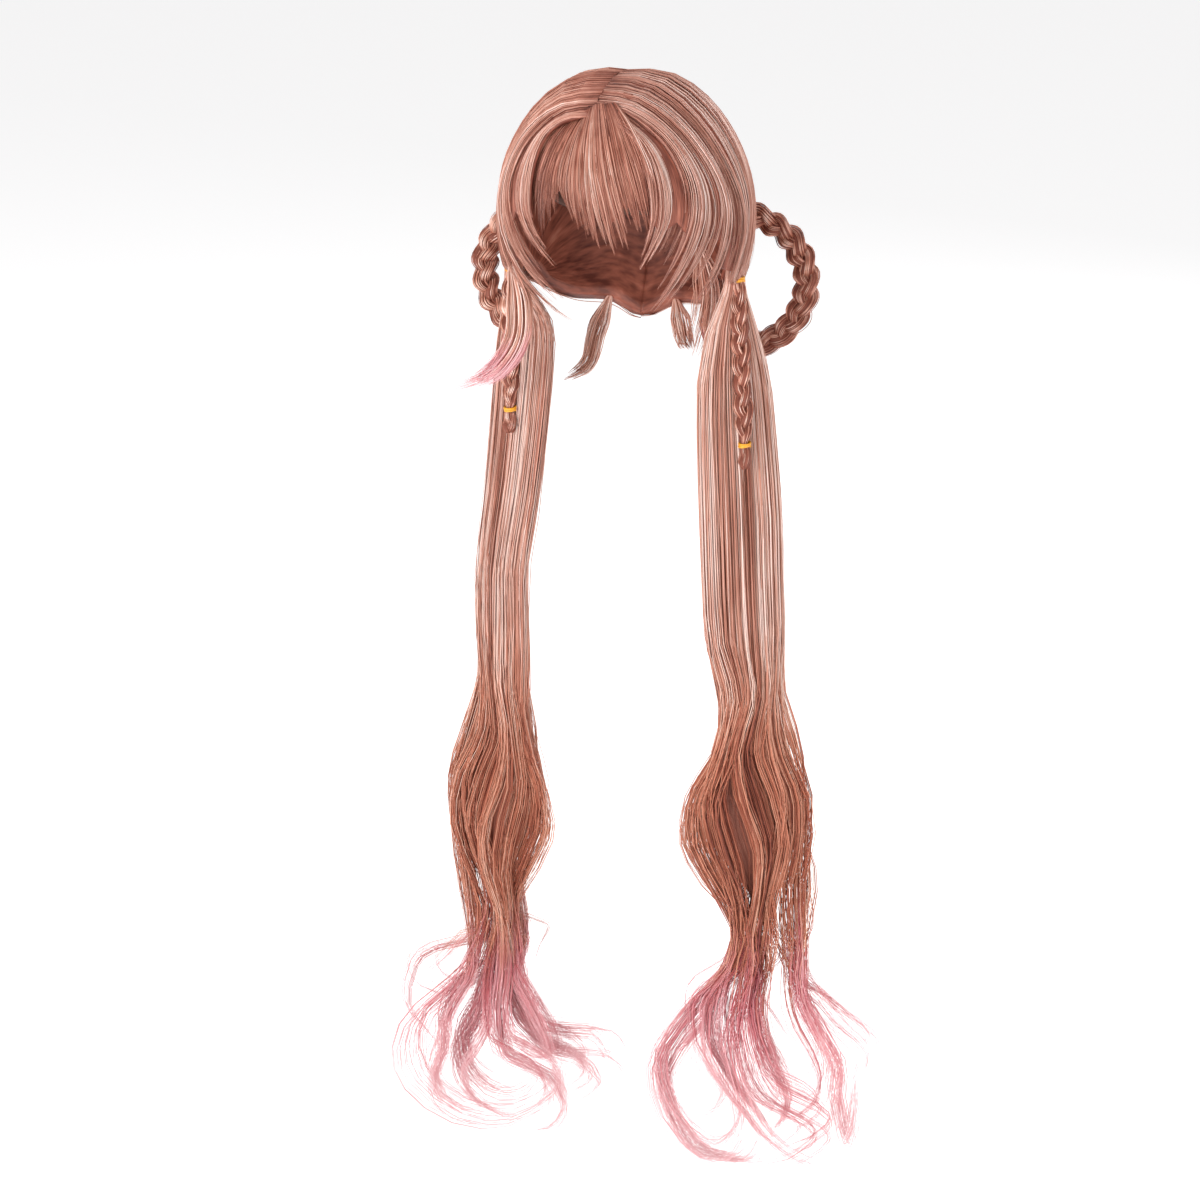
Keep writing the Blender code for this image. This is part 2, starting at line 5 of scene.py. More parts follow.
import bmesh
import bpy
import numpy as np
from bpy.props import FloatProperty, FloatVectorProperty, IntProperty, PointerProperty
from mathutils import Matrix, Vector


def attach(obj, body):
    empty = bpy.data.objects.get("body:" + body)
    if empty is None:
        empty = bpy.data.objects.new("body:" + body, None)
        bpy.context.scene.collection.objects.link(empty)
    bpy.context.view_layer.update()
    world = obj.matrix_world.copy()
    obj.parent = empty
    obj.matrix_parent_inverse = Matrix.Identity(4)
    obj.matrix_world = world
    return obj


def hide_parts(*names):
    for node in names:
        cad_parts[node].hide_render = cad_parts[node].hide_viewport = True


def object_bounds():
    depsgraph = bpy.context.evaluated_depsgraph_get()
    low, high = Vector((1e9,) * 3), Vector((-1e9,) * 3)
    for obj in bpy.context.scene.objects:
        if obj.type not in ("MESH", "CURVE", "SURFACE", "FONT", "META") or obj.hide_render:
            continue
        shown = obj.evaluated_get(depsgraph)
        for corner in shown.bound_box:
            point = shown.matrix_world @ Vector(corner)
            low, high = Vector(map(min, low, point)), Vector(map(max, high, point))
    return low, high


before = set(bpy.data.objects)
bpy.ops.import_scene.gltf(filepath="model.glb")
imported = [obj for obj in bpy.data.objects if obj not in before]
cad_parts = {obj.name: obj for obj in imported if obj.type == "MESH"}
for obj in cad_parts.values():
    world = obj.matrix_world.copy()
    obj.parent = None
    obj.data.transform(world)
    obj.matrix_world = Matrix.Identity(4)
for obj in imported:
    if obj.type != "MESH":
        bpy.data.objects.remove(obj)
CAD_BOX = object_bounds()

bl_info = {
    "name": "Long Two-Tail Wig",
    "version": (1, 0, 0),
    "blender": (4, 5, 0),
    "location": "View3D > Sidebar > Wig",
    "description": "Combs fibre hair, braids and bands over the packed solids of a long wig",
    "category": "Object",
}

# Clearance between neighbouring solids
GAP = 0.0004
SEAT_GAP = 0.0020

# Cap, with the ridges of its sewn rows and its hem
CAP_HALF_WIDTH = 0.074
CAP_HALF_DEPTH = 0.093
CAP_HALF_HEIGHT = 0.100
CAP_WALL = 0.0015
CAP_SHIFT_BACK = 0.005
CAP_BROW_RISE = 28
CAP_NAPE_RISE = -24
CAP_RIDGE = 0.0006
CAP_HEM = 0.0008
CAP_AROUND = 72
CAP_ROWS = 28

# Outer form of the hair on the head
HAIR_SIDE_LOFT = 0.0515
HAIR_FRONT_LOFT = 0.032
HAIR_LOFT = 0.022
HAIR_LOWER = 0.028
HAIR_SIDE_THICK = 0.023
HAIR_BACK_THICK = 0.016
PARTING_SWING = 0.14

# Tails
TIE_INSET = 0.0155
TIE_BACK = 0.004
TIE_LOW = 1 / 3
TAIL_FALL = 0.920
TAIL_SWAY = 0.040
TAIL_HALF_WIDTH = 0.040
TAIL_HALF_DEPTH = 0.014
TAIL_BACK = 0.018
TAIL_SPREAD = 0.075

# Ring braids
RING_RADIUS = 0.066
RING_INSET = 0.014
RING_BACK = 0.090
RING_LOWER = 0.024
RING_BRAID_HALF = 0.0122
RING_POINTS = 74
RING_FROM = 104
RING_SWEEP = 186

# Small plaits and the elastics round them: the pitch is in wires over the whole winding
PLAIT_HALF = 0.0088
PLAIT_NECK = 0.0036
PLAIT_FALL = 0.166
PLAIT_OUT = 0.002
PLAIT_FORWARD = 0.006
PLAIT_UP = 0.003
PLAIT_TIE = 0.006
PLAIT_TAG = 0.024
PLAIT_SWELL = 0.020
ELASTIC_WIRE = 0.0013
ELASTIC_TURNS = 3.2
ELASTIC_PITCH = 3.0
ELASTIC_WAVER = 0.0006
PLAIT_POINTS = 54

# Flicked side locks and nape locks
FLICK_HALF_WIDTH = 0.0140
FLICK_HALF_DEPTH = 0.0050
NAPE_HALF_WIDTH = 0.0110
NAPE_HALF_DEPTH = 0.0045
WISPS_HALF_WIDTH = 0.017
WISPS_HALF_DEPTH = 0.006

# What follows from these sizes
HAIR_HALF_WIDTH = CAP_HALF_WIDTH + HAIR_SIDE_LOFT
HAIR_HALF_DEPTH = CAP_HALF_DEPTH + HAIR_FRONT_LOFT
HAIR_HALF_HEIGHT = CAP_HALF_HEIGHT + HAIR_LOFT + HAIR_LOWER
HAIR_CENTRE = np.array((0.0, CAP_SHIFT_BACK, HAIR_LOFT - HAIR_HALF_HEIGHT))
HAIR_HALF = np.array((HAIR_HALF_WIDTH, HAIR_HALF_DEPTH, HAIR_HALF_HEIGHT))
HAIR_WALL = np.array((HAIR_SIDE_THICK, HAIR_BACK_THICK, HAIR_LOFT - CAP_WALL - SEAT_GAP))
TIE_OUT = HAIR_HALF_WIDTH - TIE_INSET
TIE_DROP = HAIR_HALF_HEIGHT * (1 + TIE_LOW) - HAIR_LOFT
RING_OUT = TIE_OUT - RING_INSET
RING_DROP = TIE_DROP + RING_LOWER

# How the fibre is laid on the head
LOCK_WIDTH = 0.0105
LOCK_RISE = 0.0032
CROWN_TONE = 0.60
CROWN_WARM = 0.18
CLUSTER = 3
BASE_SUNK = 0.0034
BASE_STOP = 0.75
BASE_GRID = (97, 30)
GROOVE_SINK = 0.0075
PARTING_SINK = 0.0060
LINE_POINTS = 20
FRINGE_LOCK_WIDTH = 0.0062
FRINGE_LOCK_RISE = 0.0020
FRINGE_STRAND_RADIUS = 0.00036
FRINGE_TONE = 0.415
FRINGE_WARM = 0.42
FRINGE_BASE_SUNK = 0.0024
FRINGE_BASE_STOP = 0.74
FRINGE_BASE_GRID = (57, 20)
FRINGE_GROOVE_SINK = 0.003
FRINGE_ROOT_RISE = 1.5
FRINGE_ROOT_TURN = 8.0
FRINGE_WALL = 0.0062
FRINGE_WALL_LOSS = 0.0035
FRINGE_POINTS = 16

# How the crown's locks run on into the tail: where they meet it, as metres in, back and
# down from the tie, how far they scatter there and how strongly they turn down
MEETING = (0.005, 0.013, 0.030)
MEETING_STEPS = 5
MEETING_SCATTER = 0.0022
MEETING_PULL = 0.05

# How the fibre is laid in the tails; falls are shares of the whole fall
TAIL_POINTS = 36
# Where across the tail a dark lane of painted shade runs, as if its locks parted there
TAIL_SHADED_PARTING = 0.52
TAIL_BACK_BY = 0.138
TAIL_OPENS = (0.38, 0.655)
TAIL_LOOSENS = (0.40, 0.60)
TAIL_BASE_END = 0.725
LOOSE_HALF_DEPTH = 0.013
BODY_FALLS = (0.0, 0.02, 0.06, 0.12, 0.19, 0.26, 0.33, 0.40, 0.46, 0.52, 0.575, 0.625, 0.675,
              0.725, 0.765)
LOWEST_FALL = 0.996
TAIL_START = -0.01
TAIL_START_SHIFT = (-0.010, 0.024, 0.014)
TAIL_FORWARD = 0.010
LOOSE_FORWARD = 0.018
LOOSE_FORWARD_GAIN = 0.022
LOOSE_SWIRL = 0.016
WISP_HALF = 0.0018
WISP_SWELL = 0.0044
WISP_NARROWS = 0.0006
WISP_AIRY = 0.0030
CORE_RINGS = 48
CORE_SIDES = 24
WAVE_REACH = 0.0120
WAVE_LENGTH = 0.22
DYE_FROM = 0.725
DYE_OVER = 0.075
NOT_DYED = -1.0

# How the fibre is laid in the braids
BRAID_TWISTS = 4.3
BRAID_TONE = 0.58
PLAIT_TWISTS = 3.2
PLAIT_TONE = 0.62
PLAIT_STRANDS = 16
BRAID_SHADING = {"Strand Radius": 0.00050, "Edge Shade": 0.50, "Tone Spread": 0.26}
CORD_SIDES = 8

# How many strands lie side by side in one row of the texture layout
UV_COLUMNS = 200

# Finishes: where the shades stand along a tone, and the scale of the fine detail
SHADE_STOPS = (0.0, 0.30, 0.58, 0.84, 1.0)
DYE_STOPS = (0.0, 0.45, 1.0)
GRAIN_SCALE = 130.0
GRAIN_STRETCH = (1.0, 1.0, 0.25)
LOCK_STREAKS = (64.0, 2.4, 1.0)
FIBRE_STREAKS = (300.0, 6.0, 1.0)
NET_WARP = 1500.0
NET_WEFT = 700.0
NET_ROWS = 88.0
NET_MOTTLE = 40.0
RUBBER_CLOUD = 420.0
# Low tones of the hair under the strands: painted shade there
UNDER_SHADE_TONE = 0.30
ROOT_SHADE_TONE = 0.17

# Floor, air and lamps
FLOOR_CLEARANCE = 0.035
FLOOR_REACH = 40.0
FLOOR_GLOW = 0.44
AIR_COLOUR = (1.0, 0.99, 0.985, 1.0)
AIR_STRENGTH = 0.55
LAMP_AIM = (0, 0, -0.45)
Lamp = namedtuple("Lamp", "name place size power")
LAMPS = (
    Lamp("key_light", (-2.1, -3.4, 0.6), 1.3, 112),
    Lamp("fill_light", (2.8, -2.8, -0.1), 2.0, 40),
    Lamp("crown_light", (0.5, -0.2, 2.8), 1.2, 26),
    Lamp("low_light", (-0.6, -3.2, -0.7), 1.8, 22),
    Lamp("back_light", (1.4, 3.2, 1.3), 1.8, 62),
)

# Camera: how far it is turned and raised, and how far off it stands
VIEW_TURN = 13
VIEW_RISE = 16
VIEW_DISTANCE = 4.2
VIEW_FIELD = 1.182
VIEW_TARGET = (-0.024, 0.0, -0.51)
SENSOR_WIDTH = 36

# Lines of the crown hair from the front lock round to the nape, as turns from the face
# and rises; groove is how deep a line lies between its neighbours
Line = namedtuple("Line", "root turn_1 rise_1 turn_2 rise_2 tip_turn tip_rise groove body tip_body")
RIGHT_FRONT = (
    Line(51, 18, 37, 24, 13, 19, -6, 0.0, 0.40, 0.14),
    Line(53, 25, 36, 31, 9, 16, -17, 0.0, 0.40, 0.12),
    Line(56, 32, 37, 38, 12, 29, -9, 1.0, 0.40, 0.20),
    Line(60, 42, 37, 49, 8, 21, -37, 0.0, 0.80, 0.14),
    Line(64, 48, 36, 56, 7, 36, -25, 0.6, 1.00, 0.20),
    Line(68, 54, 36, 64, 6, 45, -32, 0.0, 1.00, 0.22),
    Line(73, 62, 35, 71, 5, 60, -24, 0.5, 1.00, 0.40),
    Line(79, 68, 34, 78, 4, 73, -18, 0.0, 1.00, 0.90),
)
LEFT_FRONT = (
    Line(51, 39, 38, 36, 11, 24, -4, 0.0, 0.40, 0.14),
    Line(53, 44, 37, 43, 9, 16, -16, 0.0, 0.40, 0.12),
    Line(56, 53, 35, 53, 12, 33, -8, 1.0, 0.40, 0.20),
    Line(60, 62, 34, 63, 5, 6, -39, 0.0, 0.80, 0.14),
    Line(64, 68, 33, 68, 3, 38, -25, 0.6, 1.00, 0.20),
    Line(68, 73, 32, 73, 1, 48, -27, 0.0, 1.00, 0.24),
    Line(73, 78, 31, 78, -1, 60, -21, 0.5, 1.00, 0.40),
    Line(79, 83, 30, 82, -1, 72, -18, 0.0, 1.00, 0.90),
)
BACK = (
    Line(95, 94, 42, 91, 8, 83, -18, 0.0, 1.00, 1.00),
    Line(120, 120, 40, 105, 6, 91, -19, 0.0, 1.00, 1.00),
    Line(150, 146, 28, 121, -1, 98, -21, 0.0, 1.00, 1.00),
    Line(190, 160, -10, 133, -17, 105, -25, 0.2, 1.00, 1.00),
    Line(232, 158, -43, 134, -40, 112, -31, 0.0, 0.90, 0.90),
)

Fringe = namedtuple("Fringe", "turn_0 rise_0 turn_1 rise_1 tip_turn tip_rise groove")
FRINGE = (
    Fringe(-27, 51, -38, 28, -41, 10, 0.0),
    Fringe(-25, 52, -31, 25, -31, -3, 0.2),
    Fringe(-22, 53, -25, 25, -19, 13, 0.9),
    Fringe(-19, 54, -18, 22, -12, 4, 0.1),
    Fringe(-15, 54, -8, 22, 0, -5, 0.4),
    Fringe(-12, 54, 1, 22, 13, -9, 0.1),
    Fringe(-10, 54, 7, 23, 16, 3, 0.8),
    Fringe(-7, 54, 14, 24, 25, -2, 0.1),
    Fringe(-3, 54, 22, 28, 29, 5, 0.0),
)

# Tail sections: shares of the fall, the sway, the half width and depth, and the spread
Section = namedtuple("Section", "fall sway width depth spread turn")
TAIL_RIGHT = (
    Section(-0.010, -0.05, 0.16, 0.40, 0.10, 35),
    Section(0.015, -0.08, 0.26, 0.56, 0.20, 35),
    Section(0.060, -0.15, 0.58, 0.85, 0.30, 35),
    Section(0.138, -0.12, 0.92, 1.00, 0.36, 34),
    Section(0.250, 0.06, 1.00, 1.05, 0.45, 32),
    Section(0.356, 0.14, 0.98, 1.05, 0.36, 30),
    Section(0.468, 0.37, 0.90, 0.95, 0.48, 26),
    Section(0.550, 0.34, 0.60, 0.80, 0.85, 20),
    Section(0.600, 0.34, 0.22, 0.40, 1.00, 16),
    Section(0.653, 0.55, 0.00, 0.00, 1.00, 12),
    Section(0.752, 0.85, 0.00, 0.00, 0.58, 8),
    Section(0.883, 1.00, 0.00, 0.00, 1.38, 4),
    Section(1.000, 1.05, 0.00, 0.00, 1.55, 0),
)
TAIL_LEFT = (
    Section(-0.010, 0.00, 0.16, 0.40, 0.10, 38),
    Section(0.015, -0.02, 0.26, 0.56, 0.20, 38),
    Section(0.060, -0.25, 0.74, 0.85, 0.30, 30),
    Section(0.138, -0.12, 0.86, 1.00, 0.30, 34),
    Section(0.250, 0.18, 0.84, 1.05, 0.32, 38),
    Section(0.356, 0.46, 0.80, 1.05, 0.34, 40),
    Section(0.468, 0.42, 0.86, 0.95, 0.44, 30),
    Section(0.550, 0.50, 0.56, 0.80, 0.72, 20),
    Section(0.600, 0.62, 0.22, 0.40, 0.85, 14),
    Section(0.653, 0.70, 0.00, 0.00, 0.82, 8),
    Section(0.752, 0.62, 0.00, 0.00, 0.34, 4),
    Section(0.883, 0.42, 0.00, 0.00, 1.35, 0),
    Section(1.000, 0.40, 0.00, 0.00, 1.50, 0),
)

# Routes of the tail ends. Each row: wisps, strands in each, how far forward it lies,
# then places as (out from the tie in shares of the spread, share of the fall).
Route = namedtuple("Route", "wisps strands forward places")
ENDS_RIGHT = (
    Route(9, 15, 0.5, ((-0.37, .811), (-0.63, .839), (-0.83, .864), (-0.95, .893), (-0.87, .928),
                       (-0.68, .957), (-0.42, .979), (-0.15, .991), (0.10, .984), (0.28, .961),
                       (0.30, .938))),
    Route(4, 7, -0.5, ((-0.57, .807), (-0.65, .839), (-0.60, .891), (-0.45, .916), (-0.13, .932))),
    Route(8, 15, 0.8, ((-0.28, .811), (-0.34, .840), (-0.30, .867), (-0.17, .885), (0.05, .913),
                       (0.25, .928), (0.45, .949), (0.65, .965))),
    Route(5, 12, 0.1, ((-0.10, .800), (-0.12, .850), (-0.02, .895), (0.05, .935), (-0.05, .965),
                       (-0.30, .975), (-0.50, .960))),
    Route(8, 14, 0.6, ((0.25, .784), (0.16, .819), (0.22, .852), (0.37, .891), (0.60, .913),
                       (0.90, .923), (1.15, .932), (1.28, .945), (1.15, .962), (0.90, .977),
                       (0.55, .991))),
    Route(5, 11, -0.6, ((0.26, .818), (0.38, .845), (0.55, .872), (0.75, .897), (0.83, .911))),
    Route(4, 9, 0.9, ((0.04, .845), (0.10, .873), (0.34, .926), (0.65, .950), (0.99, .967),
                      (1.49, .976))),
    Route(6, 11, -0.1, ((0.84, .756), (0.83, .788), (0.92, .814), (1.15, .848), (1.34, .872),
                        (1.40, .893), (1.37, .921), (1.45, .952), (1.52, .971), (1.63, .942),
                        (1.63, .901), (1.75, .877))),
    Route(5, 8, -0.6, ((0.90, .790), (1.14, .814), (1.37, .838), (1.63, .856), (1.75, .872),
                       (1.69, .891), (1.60, .906))),
    Route(4, 6, -0.9, ((0.84, .760), (0.99, .778), (1.25, .788), (1.57, .809), (1.90, .829),
                       (2.02, .848), (1.99, .862), (1.80, .873))),
    Route(7, 14, 0.3, ((0.47, .770), (0.42, .800), (0.44, .830), (0.56, .860), (0.72, .885),
                       (0.82, .912), (0.72, .940), (0.48, .955))),
    Route(6, 13, -0.3, ((0.66, .762), (0.66, .795), (0.76, .830), (0.98, .862), (1.10, .892),
                        (1.02, .924), (0.80, .942))),
)
ENDS_LEFT = (
    Route(4, 9, 0.5, ((0.62, .735), (0.70, .745), (0.88, .760), (1.11, .780), (1.34, .794))),
    Route(5, 9, -0.4, ((0.52, .785), (0.66, .807), (0.88, .824), (1.11, .839), (1.47, .833),
                       (1.62, .822), (1.66, .807), (1.61, .788))),
    Route(4, 7, -0.7, ((0.60, .770), (0.88, .782), (1.35, .795), (1.62, .813), (1.76, .849),
                       (1.71, .874), (1.44, .898), (1.20, .920))),
    Route(8, 13, 0.6, ((0.61, .790), (0.90, .833), (1.01, .861), (1.00, .886), (1.13, .913),
                       (1.13, .930), (1.00, .946), (0.70, .956), (0.39, .954))),
    Route(10, 15, 0.2, ((0.34, .795), (0.48, .825), (0.57, .858), (0.70, .880), (0.84, .898),
                       (0.80, .920), (0.62, .937), (0.35, .946), (0.09, .951))),
    Route(9, 15, 0.8, ((0.25, .790), (0.30, .840), (0.22, .880), (-0.05, .891), (-0.39, .903),
                       (-0.57, .925), (-0.57, .942), (-0.42, .957), (-0.18, .961))),
    Route(9, 14, -0.2, ((0.09, .818), (-0.05, .850), (-0.28, .880), (-0.62, .887), (-0.86, .900),
                        (-0.96, .917), (-0.86, .931), (-0.66, .942))),
    Route(8, 13, -0.5, ((0.16, .807), (0.12, .843), (-0.19, .867), (-0.39, .872), (-0.73, .872),
                        (-1.03, .873), (-1.21, .886), (-1.27, .902), (-1.20, .917))),
    Route(9, 14, 0.5, ((0.04, .779), (-0.01, .800), (-0.23, .828), (-0.39, .852), (-0.42, .869),
                       (-0.19, .872), (0.05, .858))),
    Route(4, 7, -0.3, ((0.13, .723), (-0.05, .734), (-0.28, .743), (-0.19, .762), (-0.11, .779),
                       (-0.05, .799))),
    Route(4, 8, 0.3, ((0.52, .770), (0.90, .805), (1.40, .845), (1.58, .885), (1.45, .922),
                      (1.02, .950), (0.52, .960), (0.02, .952), (-0.42, .925), (-0.58, .898),
                      (-0.48, .878))),
    Route(4, 8, -0.2, ((0.30, .775), (0.62, .820), (0.92, .865), (0.86, .910), (0.50, .940),
                       (0.08, .938), (-0.16, .914), (-0.12, .892))),
)

# Places along the loose side locks: shares of the tie's distance out, the hair's half
# depth and the tie's drop
Place = namedtuple("Place", "out back drop")
FLICK_LEFT = (
    Place(0.91, -0.37, 0.955),
    Place(0.83, -0.42, 1.15),
    Place(0.845, -0.46, 1.35),
    Place(1.055, -0.49, 1.53),
    Place(1.43, -0.51, 1.635),
)
FLICK_RIGHT = (
    Place(0.91, 0.32, 0.985),
    Place(0.74, 0.38, 1.18),
    Place(0.68, 0.42, 1.38),
    Place(0.84, 0.45, 1.58),
    Place(1.22, 0.46, 1.65),
)
NAPE_LEFT = (
    Place(0.30, 0.665, 1.245),
    Place(0.41, 0.62, 1.44),
    Place(0.48, 0.53, 1.62),
    Place(0.70, 0.42, 1.71),
)
NAPE_RIGHT = (
    Place(0.30, 0.665, 1.245),
    Place(0.37, 0.62, 1.38),
    Place(0.42, 0.55, 1.47),
    Place(0.49, 0.44, 1.50),
)
WISPS = (
    Place(0.60, 0.32, 0.90),
    Place(0.70, 0.26, 1.14),
    Place(0.67, 0.20, 1.34),
    Place(0.60, 0.12, 1.50),
)

# The two sides: their tables, the middles of the groups that the wisps draw to, how far out
# the loose ends may reach, and the fall and lean of the small plait
Side = namedtuple("Side", "word sign front tail ends middles furthest flick nape plait_fall "
                          "plait_lean")
SIDES = (
    Side("right", 1, RIGHT_FRONT, TAIL_RIGHT, ENDS_RIGHT, (-0.62, 0.12, 0.80), 1.93,
         FLICK_RIGHT, NAPE_RIGHT, 1.0, 0.066),
    Side("left", -1, LEFT_FRONT, TAIL_LEFT, ENDS_LEFT, (-0.65, 0.10, 0.75), 1.80,
         FLICK_LEFT, NAPE_LEFT, 0.86, 0.024),
)

# One lock to be combed out: its middle line, the half axes of its section at each
# point, its tone, warmth, dye and fullness along the way, and how many strands it has
Guide = namedtuple("Guide", "points side face tone warm dye full strands")

# What the wisps of one ribbon of loose ends share, and one wisp: its place across the tail's
# end, a chance value, its route and its ribbon
Ribbon = namedtuple("Ribbon", "grow shift swirl tone")
Wisp = namedtuple("Wisp", "lower chance route ribbon")


# Shapes worked out with numpy

def along(places, shares):
    """Points on the smooth curve through the given places."""
    places = np.asarray(places, float)
    spans = len(places) - 1
    place = np.clip(shares, 0.0, 1.0) * spans
    first = np.minimum(place.astype(int), spans - 1)
    t = (place - first)[:, None]
    run = np.vstack((2 * places[0] - places[1], places, 2 * places[-1] - places[-2]))
    p0, p1, p2, p3 = (run[first + k] for k in range(4))
    rising = (p2 - p0) * t + (2 * p0 - 5 * p1 + 4 * p2 - p3) * t ** 2
    return p1 + 0.5 * (rising + (3 * p1 - p0 - 3 * p2 + p3) * t ** 3)


def unit(vectors):
    """The vectors at a length of one."""
    return vectors / np.maximum(np.linalg.norm(vectors, axis=-1, keepdims=True), 1e-9)


def curved_steps(places, count):
    """The smooth curve through the places, its points closer together where it bends."""
    fine = along(places, np.linspace(0, 1, 14 * len(places)))
    ahead = np.diff(fine, axis=0)
    length = np.linalg.norm(ahead, axis=1)
    turning = np.arccos(np.clip((unit(ahead[1:]) * unit(ahead[:-1])).sum(axis=1), -1, 1))
    bend = np.concatenate(([0], turning))
    pace = length / length.sum() + 1.1 * bend / bend.sum()
    reach = np.concatenate(([0], np.cumsum(pace)))
    steps = np.linspace(0, reach[-1], count)
    return np.column_stack([np.interp(steps, reach, fine[:, k]) for k in range(3)])


def ease(low, high, value):
    """0 below low, 1 above high, and a soft step between."""
    t = np.clip((value - low) / (high - low), 0.0, 1.0)
    return t * t * (3 - 2 * t)


def mixed(row_a, row_b, share):
    """A row that lies between two rows of a table."""
    return type(row_a)(*(a + (b - a) * share for a, b in zip(row_a, row_b)))


def read_row(table, fall):
    """The table's row at a share of the fall, eased between its own rows."""
    for above, below in zip(table, table[1:]):
        if fall <= below.fall:
            share = max((fall - above.fall) / (below.fall - above.fall), 0.0)
            return mixed(above, below, share * share * (3 - 2 * share))
    return table[-1]


def heading(turn, rise, sign=1):
    """The direction at a turn from the face and a rise, both in degrees."""
    a, b = math.radians(turn), math.radians(rise)
    return np.array((sign * math.sin(a) * math.cos(b), -math.cos(a) * math.cos(b), math.sin(b)))


def parting(root):
    """The direction of the parting at a root's angle over the head."""
    a = math.radians(root)
    swing = PARTING_SWING * max(0.0, math.cos(a) / math.cos(math.radians(51))) ** 0.7
    return unit(np.array((-swing, -math.cos(a), math.sin(a))))


def frames(path, across):
    """A unit width axis and a unit depth axis for each point of a path."""
    ahead = np.gradient(path, axis=0)
    depth = unit(np.cross(ahead, np.asarray(across, float)))
    return unit(np.cross(depth, ahead)), depth


def rings_round(path, width, depth, sides):
    """A ring of points round each place of a path, from its two half axes there."""
    around = np.linspace(0, 2 * math.pi, sides + 1)[:-1]
    return [place + np.outer(np.cos(around), across) + np.outer(np.sin(around), ahead)
            for place, across, ahead in zip(path, width, depth)]


def make_guide(points, side, face, strands, tone, warm, dye=NOT_DYED, full=1.0):
    """A guide for which a single tone, warmth, dye or fullness holds at every point."""
    values = [np.broadcast_to(value, len(points)) for value in (tone, warm, dye, full)]
    return Guide(points, side, face, *values, strands)


class Form:
    """A sheet of hair over the head, read by its line and the share from root to tip."""

    def __init__(self, table):
        self.table = table
        self.last = len(table) - 1

    def row(self, line):
        first = min(int(line), self.last - 1)
        return mixed(self.table[first], self.table[first + 1], line - first)

    def normals(self, line, shares):
        return unit(self.directions(line, shares) / HAIR_HALF)


class Crown(Form):
    """One half of the crown hair."""

    def __init__(self, side):
        super().__init__(side.front + BACK)
        self.sign = side.sign

    def directions(self, line, shares):
        row = self.row(line)
        places = (parting(row.root), heading(row.turn_1, row.rise_1, self.sign),
                  heading(row.turn_2, row.rise_2, self.sign),
                  heading(row.tip_turn, row.tip_rise, self.sign))
        return unit(along(places, shares))

    def sink(self, line, shares):
        """How far the hair lies under the outer form: at the parting and in grooves."""
        groove = self.row(line).groove * GROOVE_SINK * ease(0.02, 0.30, shares)
        return groove + PARTING_SINK * (1 - ease(0.0, 0.13, shares))

    def outer(self, line, shares, sunk):
        directions = self.directions(line, shares)
        depth = np.reshape(self.sink(line, shares) + sunk, (-1, 1))
        places = HAIR_CENTRE + (HAIR_HALF - depth) * directions
        places[:, 0] += self.sign * GAP / 2
        return places

    def inner(self, line, shares):
        row = self.row(line)
        body = np.reshape(row.body + (row.tip_body - row.body) * shares ** 1.5, (-1, 1))
        return HAIR_CENTRE + (HAIR_HALF - HAIR_WALL * body) * self.directions(line, shares)

    def free(self, line):
        """1 where the ends hang free over the face, 0 where they run to the tie."""
        return 1 - float(ease(6.2, 7.6, line))


class Brow(Form):
    """The fringe, in the same terms as a half of the crown."""

    def __init__(self):
        super().__init__(FRINGE)
        self.sunk = HAIR_WALL * RIGHT_FRONT[0].body + SEAT_GAP

    def directions(self, line, shares):
        row = self.row(line)
        apart = ease(3.0, 8.0, line)
        under = 1 - ease(0.0, 2.0, line)
        root = heading(row.turn_0 + FRINGE_ROOT_TURN * (apart - under),
                       row.rise_0 + FRINGE_ROOT_RISE * apart)
        places = (root, heading(row.turn_1 + 3 * apart - 7 * under, row.rise_1),
                  heading(row.tip_turn, row.tip_rise))
        return unit(along(places, shares))

    def outer(self, line, shares, sunk):
        over_crown = ease(2.0, 5.5, line) * (1.04 - 0.75 * ease(0.35, 1.0, shares))
        under = self.sunk * np.reshape(1 - over_crown, (-1, 1))
        depth = np.reshape(self.row(line).groove * FRINGE_GROOVE_SINK * shares + sunk, (-1, 1))
        return HAIR_CENTRE + (HAIR_HALF - under - depth) * self.directions(line, shares)

    def inner(self, line, shares):
        wall = FRINGE_WALL - FRINGE_WALL_LOSS * np.reshape(shares, (-1, 1))
        return HAIR_CENTRE + (HAIR_HALF - self.sunk - wall) * self.directions(line, shares)

    def free(self, line):
        return 1.0


def part_into_locks(form, width):
    """Line values at which a form is parted into locks of about one width."""
    grid = np.linspace(0, form.last, 24 * form.last + 1)
    ends = np.array([form.outer(line, np.array((0.5, 0.9)), 0.0) for line in grid])
    gaps = np.linalg.norm(np.diff(ends, axis=0), axis=2)
    reach = np.concatenate(([0], np.cumsum(gaps[:, 0] * 0.7 + gaps[:, 1] * 0.45)))
    count = max(2, round(reach[-1] / width))
    return np.interp(np.linspace(0, reach[-1], count + 1), reach, grid)


